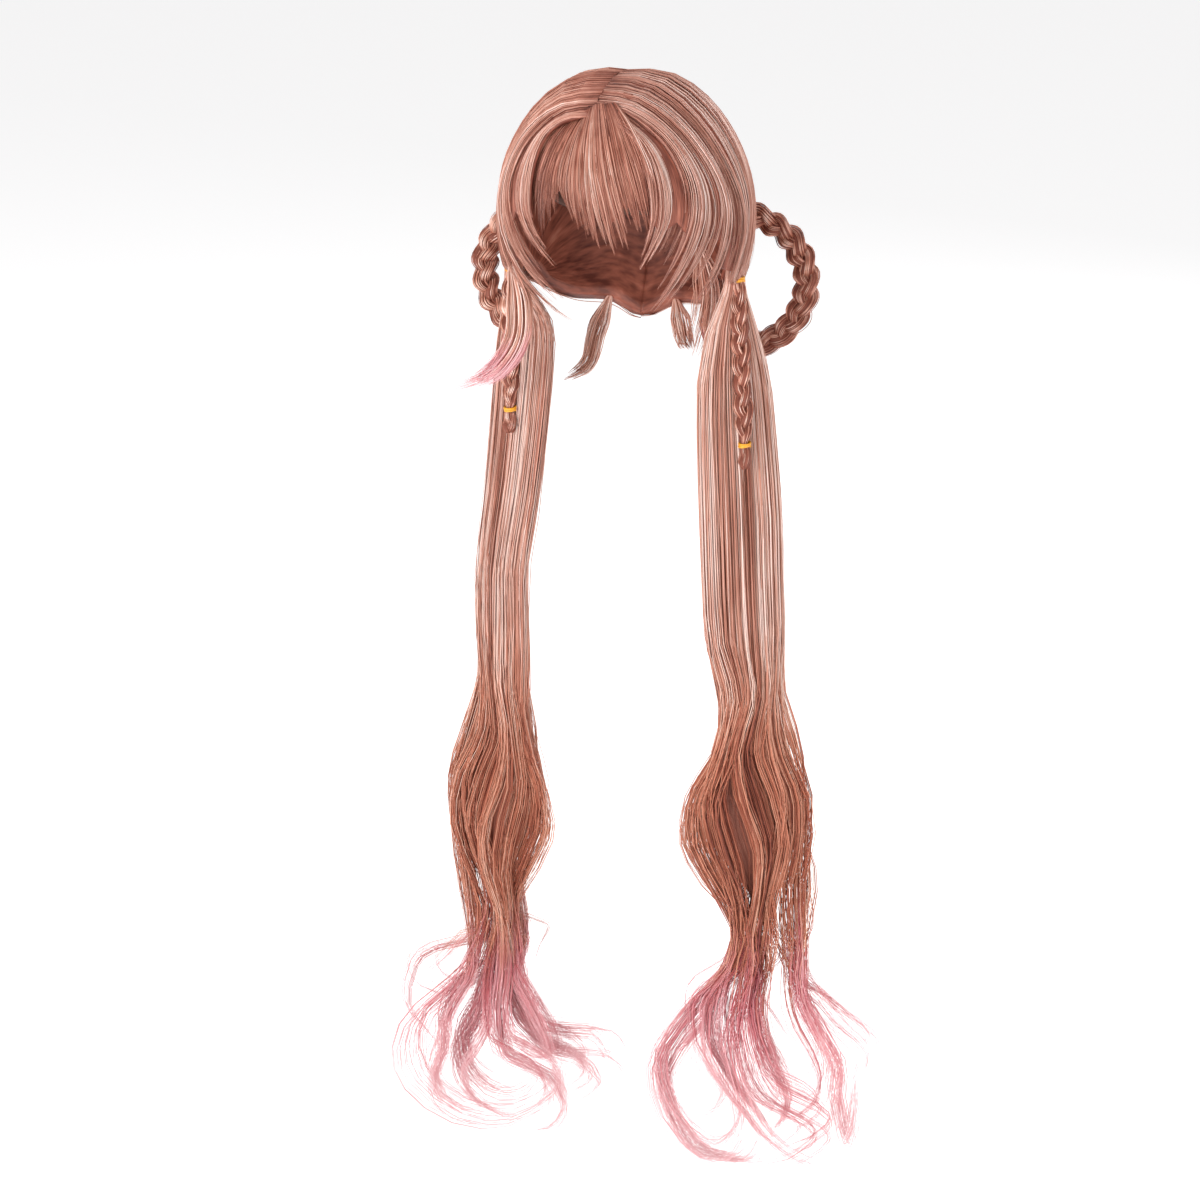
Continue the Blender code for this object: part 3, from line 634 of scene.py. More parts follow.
def comb_form(form, rng, width, rise, points, strands, tone, warm, tie=None):
    """Guides for the locks that cover a form, from the roots to the tips or the tie."""
    shares = np.linspace(0, 1, points) ** 0.9
    bounds = part_into_locks(form, width)
    drift = np.cumsum(rng.normal(0, 0.5, len(bounds)))
    drift -= np.linspace(drift[0], drift[-1], len(drift))
    guides = []
    for number, (low, high) in enumerate(zip(bounds, bounds[1:])):
        line = (low + high) / 2
        free = form.free(line)
        lift = rise * rng.uniform(0.75, 1.35)
        place = number % CLUSTER - (CLUSTER - 1) / 2
        reach = shares * (1 - free * (0.03 * abs(place) + rng.uniform(0, 0.06)))
        middle = min(number - int(place + 0.5), len(bounds) - 2)
        towards = form.outer((bounds[middle] + bounds[middle + 1]) / 2, reach, lift)
        pull = (free * 0.30 * ease(0.55, 1.0, shares))[:, None]
        path = form.outer(line, reach, lift * 1.05)
        path = path + (towards - path) * pull
        half = (form.outer(high, reach, lift) - form.outer(low, reach, lift)) / 2
        closing = 1 - free * rng.uniform(0.70, 0.88) * ease(0.62, 1.0, shares) ** 1.2
        swell = rise * (0.35 + 0.65 * ease(0.0, 0.2, shares)) * (1 - 0.45 * ease(0.6, 1, shares))
        face = form.normals(line, shares) * swell[:, None]
        side = half * (1.22 * closing)[:, None]
        groove = form.row(line).groove
        # Painted shade: a lock that lies sunk in a groove is darker.
        own = tone + 0.06 * drift[number] + rng.normal(0, 0.08) - 0.20 * groove
        # Painted shade: darker at the roots, where the hair sinks at the parting; the free tips are
        # a little darker too.
        shade = own - 0.30 * np.exp(-shares / 0.05) - 0.05 * free * ease(0.7, 1, shares)
        # Painted highlight: a lighter band across the middle of each lock.
        shade = shade + 0.10 * np.exp(-((shares - 0.50) / 0.17) ** 2)
        if tie is not None and free < 0.5:
            path, side, face, shade = gather_to_tie(path, side, face, shade, tie, rng)
        guides.append(make_guide(path, side, face, strands, shade, warm))
    return guides


def gather_to_tie(path, side, face, shade, tie, rng):
    """Carries a lock on from the edge of the crown into the top of its tail."""
    t = np.linspace(0, 1, MEETING_STEPS + 1)[1:, None]
    start = path[-1]
    leaving = (path[-1] - path[-2]) * 3
    end = tie + rng.normal(0, MEETING_SCATTER, 3)
    entering = np.array((0, 0, -MEETING_PULL))
    run = ((2 * t ** 3 - 3 * t ** 2 + 1) * start + (t ** 3 - 2 * t ** 2 + t) * leaving
           + (3 * t ** 2 - 2 * t ** 3) * end + (t ** 3 - t ** 2) * entering)
    close = 1 - 0.78 * t
    return (np.vstack((path, run)), np.vstack((side, side[-1] * close)),
            np.vstack((face, face[-1] * close)),
            np.concatenate((shade, np.full(MEETING_STEPS, shade[-1]))))


def tail_centre(side, fall):
    """The middle of a tail at a share of its fall."""
    row = read_row(side.tail, fall)
    back = TIE_BACK + (TAIL_BACK - TIE_BACK) * min(1.0, max(0.0, fall) / TAIL_BACK_BY)
    return np.array((side.sign * (TIE_OUT + row.sway * TAIL_SWAY), back,
                     -TIE_DROP - TAIL_FALL * fall))


def tail_reach(side, fall):
    """Half width and half depth of the whole tail at a share of its fall, and its turn."""
    row = read_row(side.tail, fall)
    opened = float(ease(*TAIL_OPENS, fall))
    wide = row.width * TAIL_HALF_WIDTH * (1 - opened) + row.spread * TAIL_SPREAD * opened
    deep = max(row.depth * TAIL_HALF_DEPTH, LOOSE_HALF_DEPTH * float(ease(0.45, 0.6, fall)))
    return wide, deep, side.sign * math.radians(row.turn)


def grouped(across, fall, middles):
    """Draws a place across the tail towards the middle of its group in the belly."""
    nearest = min(middles, key=lambda middle: abs(middle - across))
    pull = 0.22 * float(ease(0.46, 0.65, fall) * (1 - ease(0.67, 0.84, fall)))
    return across + (nearest - across) * pull


def tail_wisps(side, rng):
    """The wisps of a tail in their order across it; those of a route lie in ribbons."""
    wisps = []
    for route in side.ends:
        ribbons = [Ribbon(rng.uniform(0.88, 1.14), rng.normal(0, 0.085, 2), rng.uniform(-1, 1),
                          rng.normal(0, 0.09)) for _ in range(max(2, round(route.wisps / 1.7)))]
        out, fall = route.places[0]
        wide, _, _ = tail_reach(side, fall)
        lower = (out * TAIL_SPREAD + TIE_OUT - side.sign * tail_centre(side, fall)[0]) / wide
        for number in range(route.wisps):
            wisps.append(Wisp(lower + rng.normal(0, 0.16), rng.random(), route,
                              ribbons[number % len(ribbons)]))
    return sorted(wisps, key=lambda wisp: wisp.lower)


def body_places(side, wisp, number, rank, phase):
    """Places of a wisp from under the crown to where its loose end begins."""
    upper = -math.cos(math.pi * rank)
    edge = math.sqrt(max(0.0, 1 - upper * upper))
    front = (1 if number % 2 else -1) * edge * (0.72 + 0.28 * wisp.chance)
    places = [tail_centre(side, TAIL_START) + np.array(TAIL_START_SHIFT) * (side.sign, 1, 1)]
    for fall in BODY_FALLS:
        if fall > wisp.route.places[0][1] - 0.035:
            break
        wide, deep, turn = tail_reach(side, fall)
        loosened = float(ease(*TAIL_LOOSENS, fall))
        across = upper + ((2 * rank - 1) * 0.98 - upper) * loosened
        wave = WAVE_REACH * math.sin(2 * math.pi * fall / WAVE_LENGTH + phase)
        out = side.sign * (grouped(across, fall, side.middles) * wide * 0.93
                           + wave * float(ease(0.38, 0.54, fall)))
        ahead = front * deep * (0.9 + 0.5 * loosened) + wisp.route.forward * TAIL_FORWARD * loosened
        c, s = math.cos(turn), math.sin(turn)
        places.append(tail_centre(side, fall)
                      + np.array((out * c + ahead * s, out * s - ahead * c, 0)))
    return places


def loose_places(side, wisp, rng):
    """Places of a wisp's loose end, along its route."""
    route, ribbon = wisp.route, wisp.ribbon
    grow = ribbon.grow + rng.normal(0, 0.025)
    shift = ribbon.shift + rng.normal(0, 0.030, 2)
    origin = np.array(route.places[0])
    places = []
    for step, place in enumerate(route.places):
        out, fall = origin + (np.array(place) - origin) * grow + shift * (1, 0.10)
        share = step / (len(route.places) - 1)
        swirl = LOOSE_SWIRL * ribbon.swirl * math.sin(math.pi * share)
        ahead = route.forward * (LOOSE_FORWARD + LOOSE_FORWARD_GAIN * share) + swirl
        back = tail_centre(side, min(fall, 1.0))[1] - ahead
        places.append(np.array((side.sign * (TIE_OUT + min(out, side.furthest) * TAIL_SPREAD),
                                back, -TIE_DROP - TAIL_FALL * min(fall, LOWEST_FALL))))
    return places


def tail_guides(side, rng):
    """Guides of one tail: wisps from the tie, down the body and round the loose ends."""
    wisps = tail_wisps(side, rng)
    guides = []
    for number, wisp in enumerate(wisps):
        rank = (number + 0.5) / len(wisps)
        phase = 5.0 * rank + rng.normal(0, 0.35)
        places = body_places(side, wisp, number, rank, phase) + loose_places(side, wisp, rng)
        path = curved_steps(places, TAIL_POINTS)
        fall = (-TIE_DROP - path[:, 2]) / TAIL_FALL
        width, depth = frames(path, (0, 1, 0))
        loop = ease(0.78, 0.90, fall)
        half = WISP_HALF + WISP_SWELL * ease(0.0, 0.10, fall)
        half = half - WISP_NARROWS * ease(0.5, 0.65, fall)
        half = half * (1 - 0.15 * loop) + WISP_AIRY * (12.0 / wisp.route.strands) * loop
        thin = half * (0.62 - 0.1 * loop)
        half = half * (1 - 0.75 * ease(0.74, 1.0, np.linspace(0, 1, len(path))))
        own = 0.80 + 0.08 * math.sin(9.0 * rank + side.sign) + rng.normal(0, 0.09)
        # Painted shade: a dark lane down the tail where its locks seem to part.
        own -= 0.38 * math.exp(-((rank - TAIL_SHADED_PARTING) / 0.04) ** 2)
        tone = own - 0.12 * (1 - ease(0.0, 0.05, fall))
        tone = tone - (0.26 + 0.07 * side.sign) * ease(0.38, 0.58, fall)
        # Painted highlight: lighter bands along each wisp.
        tone = tone + 0.07 * np.sin(2 * math.pi * fall / 0.27 + 2.0 * phase)
        tone = tone + (0.08 + 0.9 * wisp.ribbon.tone) * loop
        dye = (fall - DYE_FROM - rng.normal(0, 0.022)) / DYE_OVER
        warm = 0.45 + 0.95 * ease(0.36, 0.55, fall)
        guides.append(make_guide(path, depth * half[:, None], width * thin[:, None],
                                 wisp.route.strands, tone, warm, dye, 1 + 0.12 * loop))
    return guides


def tail_core(side):
    """Rings of the plain hair inside a tail, which ends where its wisps part."""
    falls = np.linspace(TAIL_START, TAIL_BASE_END, CORE_RINGS)
    across, ahead = [], []
    for fall in falls:
        wide, deep, turn = tail_reach(side, fall)
        wide *= 0.78 * (1.02 - ease(0.58, TAIL_BASE_END, fall))
        deep *= 0.42 * (1.02 - ease(0.64, TAIL_BASE_END, fall))
        across.append(wide * np.array((math.cos(turn), math.sin(turn), 0)))
        ahead.append(deep * np.array((-math.sin(turn), math.cos(turn), 0)))
    return rings_round([tail_centre(side, fall) for fall in falls], across, ahead, CORE_SIDES)


def swept_guides(rows, sign, across, half_width, half_depth, rng, count, strands, closing,
                 dye_from=None):
    """Guides of a flat side lock; closing is how far it draws to a point."""
    route = [np.array((sign * row.out * TIE_OUT, row.back * HAIR_HALF_DEPTH, -row.drop * TIE_DROP))
             for row in rows]
    shares = np.linspace(0, 1, LINE_POINTS)
    middle = along(route, shares)
    width, depth = frames(middle, across)
    guides = []
    for number in range(count):
        own = 2 * (number + 0.5) / count - 1
        full = np.minimum(1.0, 0.25 + 3.2 * shares) * (1 - 0.4 * closing * ease(0.7, 1.0, shares))
        shift = width * (own * half_width * 0.80 * full)[:, None]
        lift = depth * (rng.uniform(-0.4, 0.4) * half_depth * full)[:, None]
        reach = 1 - 0.22 * abs(own) * rng.uniform(0.3, 1.0)
        path = along(middle + shift + lift, shares * reach)
        close = full * (1 - closing * ease(0.50, 1.0, shares))
        tone = 0.75 + rng.normal(0, 0.06)
        stray = rng.normal(0, 0.15)
        dye = NOT_DYED if dye_from is None else (shares - dye_from) / 0.22 + stray
        guides.append(make_guide(path, width * (half_width * 1.6 / count * close)[:, None],
                                 depth * (half_depth * 0.75 * close)[:, None], strands, tone, 0.6,
                                 dye))
    return guides


def ply_lines(path, across, sizes, twists):
    """The three plies of a braid: middle lines with their painted light and shade, and width and
    depth axes of the braid.
    """
    depth, width = frames(path, across)
    shares = np.linspace(0, 1, len(path))
    lines = []
    for ply in range(3):
        phase = 2 * math.pi * (twists * shares + ply / 3)
        shift = (width * (0.50 * np.sin(phase))[:, None]
                 + depth * (0.42 * np.sin(2 * phase))[:, None])
        # Painted light and shade: a ply is lighter where it rides over the others and darker where
        # it dives under.
        crest_light_and_shade = 0.40 * np.abs(np.sin(2 * phase)) - 0.18
        lines.append((path + shift * sizes[:, None], crest_light_and_shade))
    return lines, width, depth


def braid_guides(path, across, sizes, twists, strands, tone, rng):
    """Guides for the three plies of a braid, and the rings of the plies' cores."""
    lines, width, depth = ply_lines(path, across, sizes, twists)
    guides, cores = [], []
    for line, crest_light_and_shade in lines:
        own = tone + rng.normal(0, 0.03)
        guides.append(make_guide(line, width * (0.56 * sizes)[:, None],
                                 depth * (0.50 * sizes)[:, None], strands, own + crest_light_and_shade, 0.6))
        cores.append(rings_round(line, width * (0.50 * sizes)[:, None],
                                 depth * (0.44 * sizes)[:, None], CORD_SIDES))
    return guides, cores


def ring_path(sign, count):
    """The ring from the crown, round behind and back to its seat in the tail."""
    places = []
    for step in range(29):
        a = math.radians(RING_FROM - RING_SWEEP * step / 28)
        places.append(np.array((sign * (RING_OUT + RING_RADIUS * math.cos(a)), RING_BACK,
                                -RING_DROP + RING_RADIUS * math.sin(a))))
    turn_in = places[-1]
    seat = np.array((sign * TIE_OUT, TAIL_BACK, -RING_DROP - 0.75 * RING_RADIUS))
    for step in range(1, 7):
        share = step / 6
        bow = np.array((-sign * 0.14 * RING_RADIUS * math.sin(math.pi * share), 0, 0))
        places.append(turn_in + (seat - turn_in) * share + bow)
    return along(places, np.linspace(0, 1, count))


def plait_line(side):
    """The top and end of a small plait, its length, and its ties as shares of it."""
    front = TIE_BACK - PLAIT_FORWARD
    top = np.array((side.sign * (TIE_OUT + PLAIT_OUT), front, PLAIT_UP - TIE_DROP))
    end = np.array((side.sign * (TIE_OUT + side.plait_lean * PLAIT_FALL), front,
                    -TIE_DROP - side.plait_fall * PLAIT_FALL - PLAIT_TAG))
    length = float(np.linalg.norm(end - top))
    return top, end, length, (PLAIT_TIE / length, 1 - PLAIT_TAG / length)


def band_turns(sign, share):
    """The winding of a rubber band about its middle."""
    turns = np.linspace(0, ELASTIC_TURNS * 2 * math.pi, 96)
    reach = (PLAIT_NECK + GAP + ELASTIC_WIRE) * (1.0 + 0.06 * np.sin(turns * 1.7 + sign))
    rise = (turns / turns[-1] - 0.5) * ELASTIC_PITCH * ELASTIC_WIRE
    rise = rise + ELASTIC_WAVER * np.sin(turns * 0.9 + 2.0 * share)
    return np.column_stack((np.cos(turns) * reach, np.sin(turns) * reach, rise))


def cap_rings(wall):
    """Rings of the cap from its top to its rim: its outside, or its inside without a wall."""
    half = np.array((CAP_HALF_WIDTH, CAP_HALF_DEPTH, CAP_HALF_HEIGHT)) + wall
    rings = []
    for row in range(CAP_ROWS + 1):
        share = max(row / CAP_ROWS, 0.012)
        ridge = 0.0 if wall else CAP_RIDGE * (0.5 + 0.5 * math.cos(2 * math.pi * row / 4))
        hem = CAP_HEM * float(ease(0.955, 0.975, share)) * (1 if wall else -1)
        ring = []
        for i in range(CAP_AROUND):
            turn = 360 * i / CAP_AROUND
            front = 0.5 + 0.5 * math.cos(math.radians(turn))
            rim = CAP_NAPE_RISE + (CAP_BROW_RISE - CAP_NAPE_RISE) * front ** 1.5
            direction = heading(turn, 90 + (rim - 90) * share)
            ring.append((half - ridge + hem) * direction + (0, CAP_SHIFT_BACK, -CAP_HALF_HEIGHT))
        rings.append(ring)
    return rings


# Nodes and finishes

class Term:
    """A node's output that takes part in arithmetic written in Python."""

    def __init__(self, socket):
        self.socket = socket

    def maths(self, operation, *others, swapped=False):
        values = [self, *others]
        if swapped:
            values.reverse()
        wide = [isinstance(v, Term) and v.socket.type == 'VECTOR' for v in values]
        tree = self.socket.id_data
        if not any(wide):
            return node(tree, 'ShaderNodeMath', {"operation": operation}, dict(enumerate(values)))
        if operation == 'MULTIPLY' and not all(wide):
            vector, number = values if wide[0] else values[::-1]
            return node(tree, 'ShaderNodeVectorMath', {"operation": 'SCALE'},
                        {0: vector, "Scale": number})
        return node(tree, 'ShaderNodeVectorMath', {"operation": operation}, dict(enumerate(values)))

    def __add__(self, other):
        return self.maths('ADD', other)

    def __radd__(self, other):
        return self.maths('ADD', other, swapped=True)

    def __sub__(self, other):
        return self.maths('SUBTRACT', other)

    def __rsub__(self, other):
        return self.maths('SUBTRACT', other, swapped=True)

    def __mul__(self, other):
        return self.maths('MULTIPLY', other)

    def __rmul__(self, other):
        return self.maths('MULTIPLY', other, swapped=True)

    def __truediv__(self, other):
        return self.maths('DIVIDE', other)

    def __pow__(self, other):
        return self.maths('POWER', other)


def pick(sockets, key):
    """A socket by its place, its identifier or its name."""
    if isinstance(key, int):
        return sockets[key]
    for socket in sockets:
        if socket.identifier == key:
            return socket
    return sockets[key]


def node(tree, kind, settings=None, values=None, out=0):
    """Adds a node, sets its settings, then its sockets, and returns one output."""
    made = tree.nodes.new(kind)
    for key, value in (settings or {}).items():
        if key == "stops":
            ramp = made.color_ramp
            while len(ramp.elements) < len(value):
                ramp.elements.new(0.5)
            for element, (place, colour) in zip(ramp.elements, value):
                element.position = place
                element.color = (*colour, 1.0)
        else:
            setattr(made, key, value)
    for key, value in (values or {}).items():
        socket = pick(made.inputs, key)
        if isinstance(value, Term):
            tree.links.new(value.socket, socket)
        else:
            socket.default_value = value
    return Term(pick(made.outputs, out)) if made.outputs else made


def blend(tree, share, first, second, how='MIX'):
    """Mixes two colours by a share."""
    return node(tree, 'ShaderNodeMix', {"data_type": 'RGBA', "blend_type": how},
                {"Factor_Float": share, "A_Color": first, "B_Color": second}, "Result_Color")


def attribute(tree, name):
    return node(tree, 'ShaderNodeAttribute', {"attribute_name": name}, out="Fac")


def noise(tree, place, scale, detail=3.0):
    return node(tree, 'ShaderNodeTexNoise', values={"Vector": place, "Scale": scale,
                                                    "Detail": detail})


def bump(tree, height, strength, distance):
    return node(tree, 'ShaderNodeBump', values={"Strength": strength, "Distance": distance,
                                                "Height": height}, out="Normal")


def scaled(tree, place, scale):
    return node(tree, 'ShaderNodeMapping', values={0: place, "Scale": scale})


def numbers_of(tree, vector):
    """The three numbers of a vector."""
    split = node(tree, 'ShaderNodeSeparateXYZ', values={0: vector}).socket.node
    return [Term(socket) for socket in split.outputs]


def new_finish(name):
    """An empty material, its tree and its shader."""
    material = bpy.data.materials.new(name)
    material.use_nodes = True
    tree = material.node_tree
    return material, tree, tree.nodes["Principled BSDF"]


def wire(tree, shader, **inputs):
    for name, value in inputs.items():
        socket = shader.inputs[name.replace("_", " ")]
        if isinstance(value, Term):
            tree.links.new(value.socket, socket)
        else:
            socket.default_value = value


def fibre_colour(tree, look, tone, warm, dye, grain):
    """Colour of a fibre from its tone, its warmth and how far it is dyed."""
    shades = (look.shade_deep, look.shade_low, look.shade_mid, look.shade_light, look.shade_pale)
    cool = node(tree, 'ShaderNodeValToRGB', {"stops": tuple(zip(SHADE_STOPS, shades))},
                {"Fac": tone})
    copper = blend(tree, warm * 0.55, cool, (*look.copper, 1.0), 'SOFT_LIGHT')
    dyes = (look.dye_deep, look.dye_mid, look.dye_pale)
    pink = node(tree, 'ShaderNodeValToRGB', {"stops": tuple(zip(DYE_STOPS, dyes))},
                {"Fac": tone * 1.10 + grain * 0.3 + dye * 0.20 - 0.50})
    share = node(tree, 'ShaderNodeMath', {"operation": 'MULTIPLY', "use_clamp": True},
                 {0: dye, 1: 1.0})
    return blend(tree, share, copper, pink)


def strand_finish(look):
    """Combed fibre: tone, warmth and dye come with each strand."""
    material, tree, shader = new_finish("combed_fibre")
    place = node(tree, 'ShaderNodeTexCoord', out="Object")
    grain = noise(tree, scaled(tree, place, GRAIN_STRETCH), GRAIN_SCALE)
    tone = attribute(tree, "tone") + (grain - 0.5) * 0.36
    colour = fibre_colour(tree, look, tone, attribute(tree, "warm"), attribute(tree, "dye"), grain)
    wire(tree, shader, Base_Color=colour, Roughness=0.30 + grain * 0.22,
         Specular_IOR_Level=0.48)
    return material


def under_finish(look, name, depth):
    """Hair under the top strands, kept dark as painted shade: fine streaks along the way it is
    combed.
    """
    material, tree, shader = new_finish(name)
    lay = node(tree, 'ShaderNodeUVMap', {"uv_map": "lay"})
    locks = noise(tree, scaled(tree, lay, LOCK_STREAKS), 1.0)
    fibres = noise(tree, scaled(tree, lay, FIBRE_STREAKS), 1.0, 2.0)
    # depth is a low tone here: painted shade under the top strands
    tone = depth + (locks - 0.5) * 0.7 + (fibres - 0.5) * 0.7
    colour = fibre_colour(tree, look, tone, 0.5, NOT_DYED, fibres)
    wire(tree, shader, Base_Color=colour, Roughness=0.42 + fibres * 0.22,
         Normal=bump(tree, fibres + locks, 0.6, 0.0008), Specular_IOR_Level=0.4)
    return material


def net_finish(look):
    """The cap: a fine woven net with sewn rows."""
    material, tree, shader = new_finish("cap_weave")
    lay = node(tree, 'ShaderNodeUVMap', {"uv_map": "lay"})
    across, down, _ = numbers_of(tree, lay)
    threads = (across * NET_WARP).maths('SINE') * (down * NET_WEFT).maths('SINE') * 0.5 + 0.5
    rows = (down * NET_ROWS).maths('SINE') * 0.5 + 0.5
    mottle = noise(tree, lay, NET_MOTTLE)
    share = threads * 0.35 + rows * 0.35 + mottle * 0.3
    colour = blend(tree, share, (*look.net_dark, 1.0), (*look.net_light, 1.0))
    wire(tree, shader, Base_Color=colour, Roughness=0.72 + mottle * 0.15,
         Normal=bump(tree, threads + rows, 0.7, 0.0006))
    return material


def rubber_finish(look):
    """The small bands: amber rubber, a little clouded."""
    material, tree, shader = new_finish("amber_rubber")
    cloud = noise(tree, node(tree, 'ShaderNodeTexCoord', out="Object"), RUBBER_CLOUD)
    colour = blend(tree, cloud, (*look.rubber_dark, 1.0), (*look.rubber_light, 1.0))
    wire(tree, shader, Base_Color=colour, Roughness=0.30 + cloud * 0.25,
         Normal=bump(tree, cloud, 0.3, 0.0002))
    return material


FINISHES = {}


def finish_for(name):
    """Each finish is made once and shared by its pieces."""
    if name not in FINISHES:
        look = bpy.context.scene.wig_look
        makers = {
            "strand": strand_finish,
            "under": lambda look: under_finish(look, "shaded_under_hair", UNDER_SHADE_TONE),
            "root": lambda look: under_finish(look, "shaded_root_hair", ROOT_SHADE_TONE),
            "net": net_finish,
            "rubber": rubber_finish,
        }
        FINISHES[name] = makers[name](look)
    return FINISHES[name]


# Geometry Nodes tree that combs each guide out into strands

TREE_INPUTS = (
    ("Strand Radius", 'NodeSocketFloat', 0.0004),
    ("Loose", 'NodeSocketFloat', 0.004),
    ("Wander", 'NodeSocketFloat', 3.0),
    ("Fullness", 'NodeSocketFloat', 0.35),
    ("Underside", 'NodeSocketFloat', 1.0),
    ("Ragged", 'NodeSocketFloat', 0.12),
    ("Tone Spread", 'NodeSocketFloat', 0.50),
    ("Depth Shade", 'NodeSocketFloat', 0.42),
    ("Edge Shade", 'NodeSocketFloat', 0.06),
    ("Seed", 'NodeSocketInt', 1),
    ("Material", 'NodeSocketMaterial', None),
)


def strand_tree():
    """Copies each guide, spreads the copies over the lock's section and makes them round."""
    tree = bpy.data.node_groups.new("comb_strands", 'GeometryNodeTree')
    tree.interface.new_socket("Geometry", in_out='INPUT', socket_type='NodeSocketGeometry')
    for name, kind, default in TREE_INPUTS:
        socket = tree.interface.new_socket(name, in_out='INPUT', socket_type=kind)
        if default is not None:
            socket.default_value = default
    tree.interface.new_socket("Geometry", in_out='OUTPUT', socket_type='NodeSocketGeometry')
    given = tree.nodes.new('NodeGroupInput')
    wanted = {socket.name: Term(socket) for socket in given.outputs if socket.name}

    def make(kind, settings=None, values=None, out=0):
        return node(tree, kind, settings, values, out)

    def named(name, kind='FLOAT'):
        return make('GeometryNodeInputNamedAttribute', {"data_type": kind}, {"Name": name})

    def store(geometry, name, value, kind='FLOAT', domain='POINT'):
        return make('GeometryNodeStoreNamedAttribute', {"data_type": kind, "domain": domain},
                    {"Geometry": geometry, "Name": name, "Value": value})

    def chance(step):
        drawn = make('FunctionNodeRandomValue', {"data_type": 'FLOAT'},
                     {"Seed": wanted["Seed"] + float(step)}, "Value_001")
        return make('GeometryNodeFieldOnDomain', {"data_type": 'FLOAT', "domain": 'CURVE'},
                    {"Value": drawn})

    curves = make('GeometryNodeMeshToCurve', values={"Mesh": wanted["Geometry"]})
    copies = make('GeometryNodeDuplicateElements', {"domain": 'SPLINE'},
                  {"Geometry": curves, "Amount": named("strands", 'INT')})
    factor = make('GeometryNodeSplineParameter', out="Factor")

    angle = chance(1) * (2 * math.pi)
    reach = chance(2) ** wanted["Fullness"]
    drift = (((factor * (0.4 + chance(3)) + chance(4)) * (2 * math.pi)).maths('SINE')) * 0.16
    across = angle.maths('COSINE') * reach + drift
    over = angle.maths('SINE') * reach
    over = over.maths('MAXIMUM', 0.0) + over.maths('MINIMUM', 0.0) * wanted["Underside"]
    spread = named("side", 'FLOAT_VECTOR') * across + named("face", 'FLOAT_VECTOR') * over

    own_place = make('ShaderNodeCombineXYZ', values={
        0: chance(5) * 60.0, 1: chance(6) * 60.0, 2: factor * wanted["Wander"]})
    waver = make('ShaderNodeTexNoise', values={"Vector": own_place, "Scale": 1.0, "Detail": 1.0},
                 out="Color")
    centred = make('ShaderNodeVectorMath', {"operation": 'SUBTRACT'}, {0: waver, 1: (0.5,) * 3})
    amount = wanted["Loose"] * (0.30 + 2.6 * chance(7) ** 7.0) * (0.25 + factor ** 1.4)
    wisp = make('ShaderNodeVectorMath', {"operation": 'SCALE'}, {0: centred, "Scale": amount})
    placed = make('GeometryNodeSetPosition', values={"Geometry": copies, "Offset": spread + wisp})
    cut = make('GeometryNodeTrimCurve', {"mode": 'FACTOR'},
               {"Curve": placed, "Start": 0.0, "End": 1.0 - wanted["Ragged"] * chance(8)})

    toned = (named("tone") + (chance(9) - 0.5) * wanted["Tone Spread"]
             + (reach - 0.74) * wanted["Depth Shade"]
             - (angle.maths('COSINE') * reach) ** 4.0 * wanted["Edge Shade"])
    shaded = store(cut, "tone", toned)
    dyed = store(shaded, "dye", named("dye") + (chance(10) - 0.5) * 0.9)
    columns = float(UV_COLUMNS)
    index = make('GeometryNodeFieldOnDomain', {"data_type": 'FLOAT', "domain": 'CURVE'},
                 {"Value": make('GeometryNodeInputIndex')})
    size = make('GeometryNodeAttributeDomainSize', {"component": 'CURVE'},
                {"Geometry": dyed}, "Spline Count")
    lane = store(dyed, "lane", make('ShaderNodeCombineXYZ', values={
        0: index.maths('MODULO', columns), 1: (index / columns).maths('FLOOR'), 2: factor}),
        'FLOAT_VECTOR')
    taper = (0.75 + 0.5 * chance(11)) * (1.0 - 0.80 * factor ** 4.0)
    thick = wanted["Strand Radius"] * taper * named("full")

    circle = make('GeometryNodeCurvePrimitiveCircle', values={"Resolution": 3, "Radius": 1.0})
    profile = store(circle, "rim", factor)
    rounded = make('GeometryNodeCurveToMesh', values={
        "Curve": lane, "Profile Curve": profile, "Scale": thick, "Fill Caps": True})
    column, row, height = numbers_of(tree, named("lane", 'FLOAT_VECTOR'))
    rows = (size / columns).maths('CEIL')
    atlas = make('ShaderNodeCombineXYZ', values={
        0: (column + 0.15 + named("rim") * 0.9) / columns,
        1: (row + 0.03 + height * 0.94) / rows})
    mapped = store(rounded, "OFBake", atlas, 'FLOAT2', 'CORNER')
    for spare in ("side", "face", "strands", "full", "lane", "rim"):
        mapped = make('GeometryNodeRemoveAttribute', values={"Geometry": mapped, "Name": spare})
    smooth = make('GeometryNodeSetShadeSmooth', values={"Geometry": mapped})
    dressed = make('GeometryNodeSetMaterial',
                   values={"Geometry": smooth, "Material": wanted["Material"]})
    done = make('GeometryNodeRealizeInstances', values={"Geometry": dressed})
    result = tree.nodes.new('NodeGroupOutput')
    tree.links.new(done.socket, result.inputs[0])
    return tree


def guide_mesh(name, guides):
    """One polyline for each guide, its values kept as attributes of its points."""
    mesh = bpy.data.meshes.new(name)
    points = np.vstack([guide.points for guide in guides])
    edges, start = [], 0
    for guide in guides:
        count = len(guide.points)
        edges += [(start + i, start + i + 1) for i in range(count - 1)]
        start += count
    mesh.from_pydata(points.tolist(), edges, [])
    for key in ("side", "face"):
        values = np.vstack([getattr(guide, key) for guide in guides])
        layer = mesh.attributes.new(key, 'FLOAT_VECTOR', 'POINT')
        layer.data.foreach_set("vector", values.astype(np.float32).ravel())
    for key in ("tone", "warm", "dye", "full"):
        values = np.concatenate([getattr(guide, key) for guide in guides])
        layer = mesh.attributes.new(key, 'FLOAT', 'POINT')
        layer.data.foreach_set("value", values.astype(np.float32))
    counts = np.concatenate([np.full(len(guide.points), guide.strands) for guide in guides])
    layer = mesh.attributes.new("strands", 'INT', 'POINT')
    layer.data.foreach_set("value", counts.astype(np.int32))
    return mesh


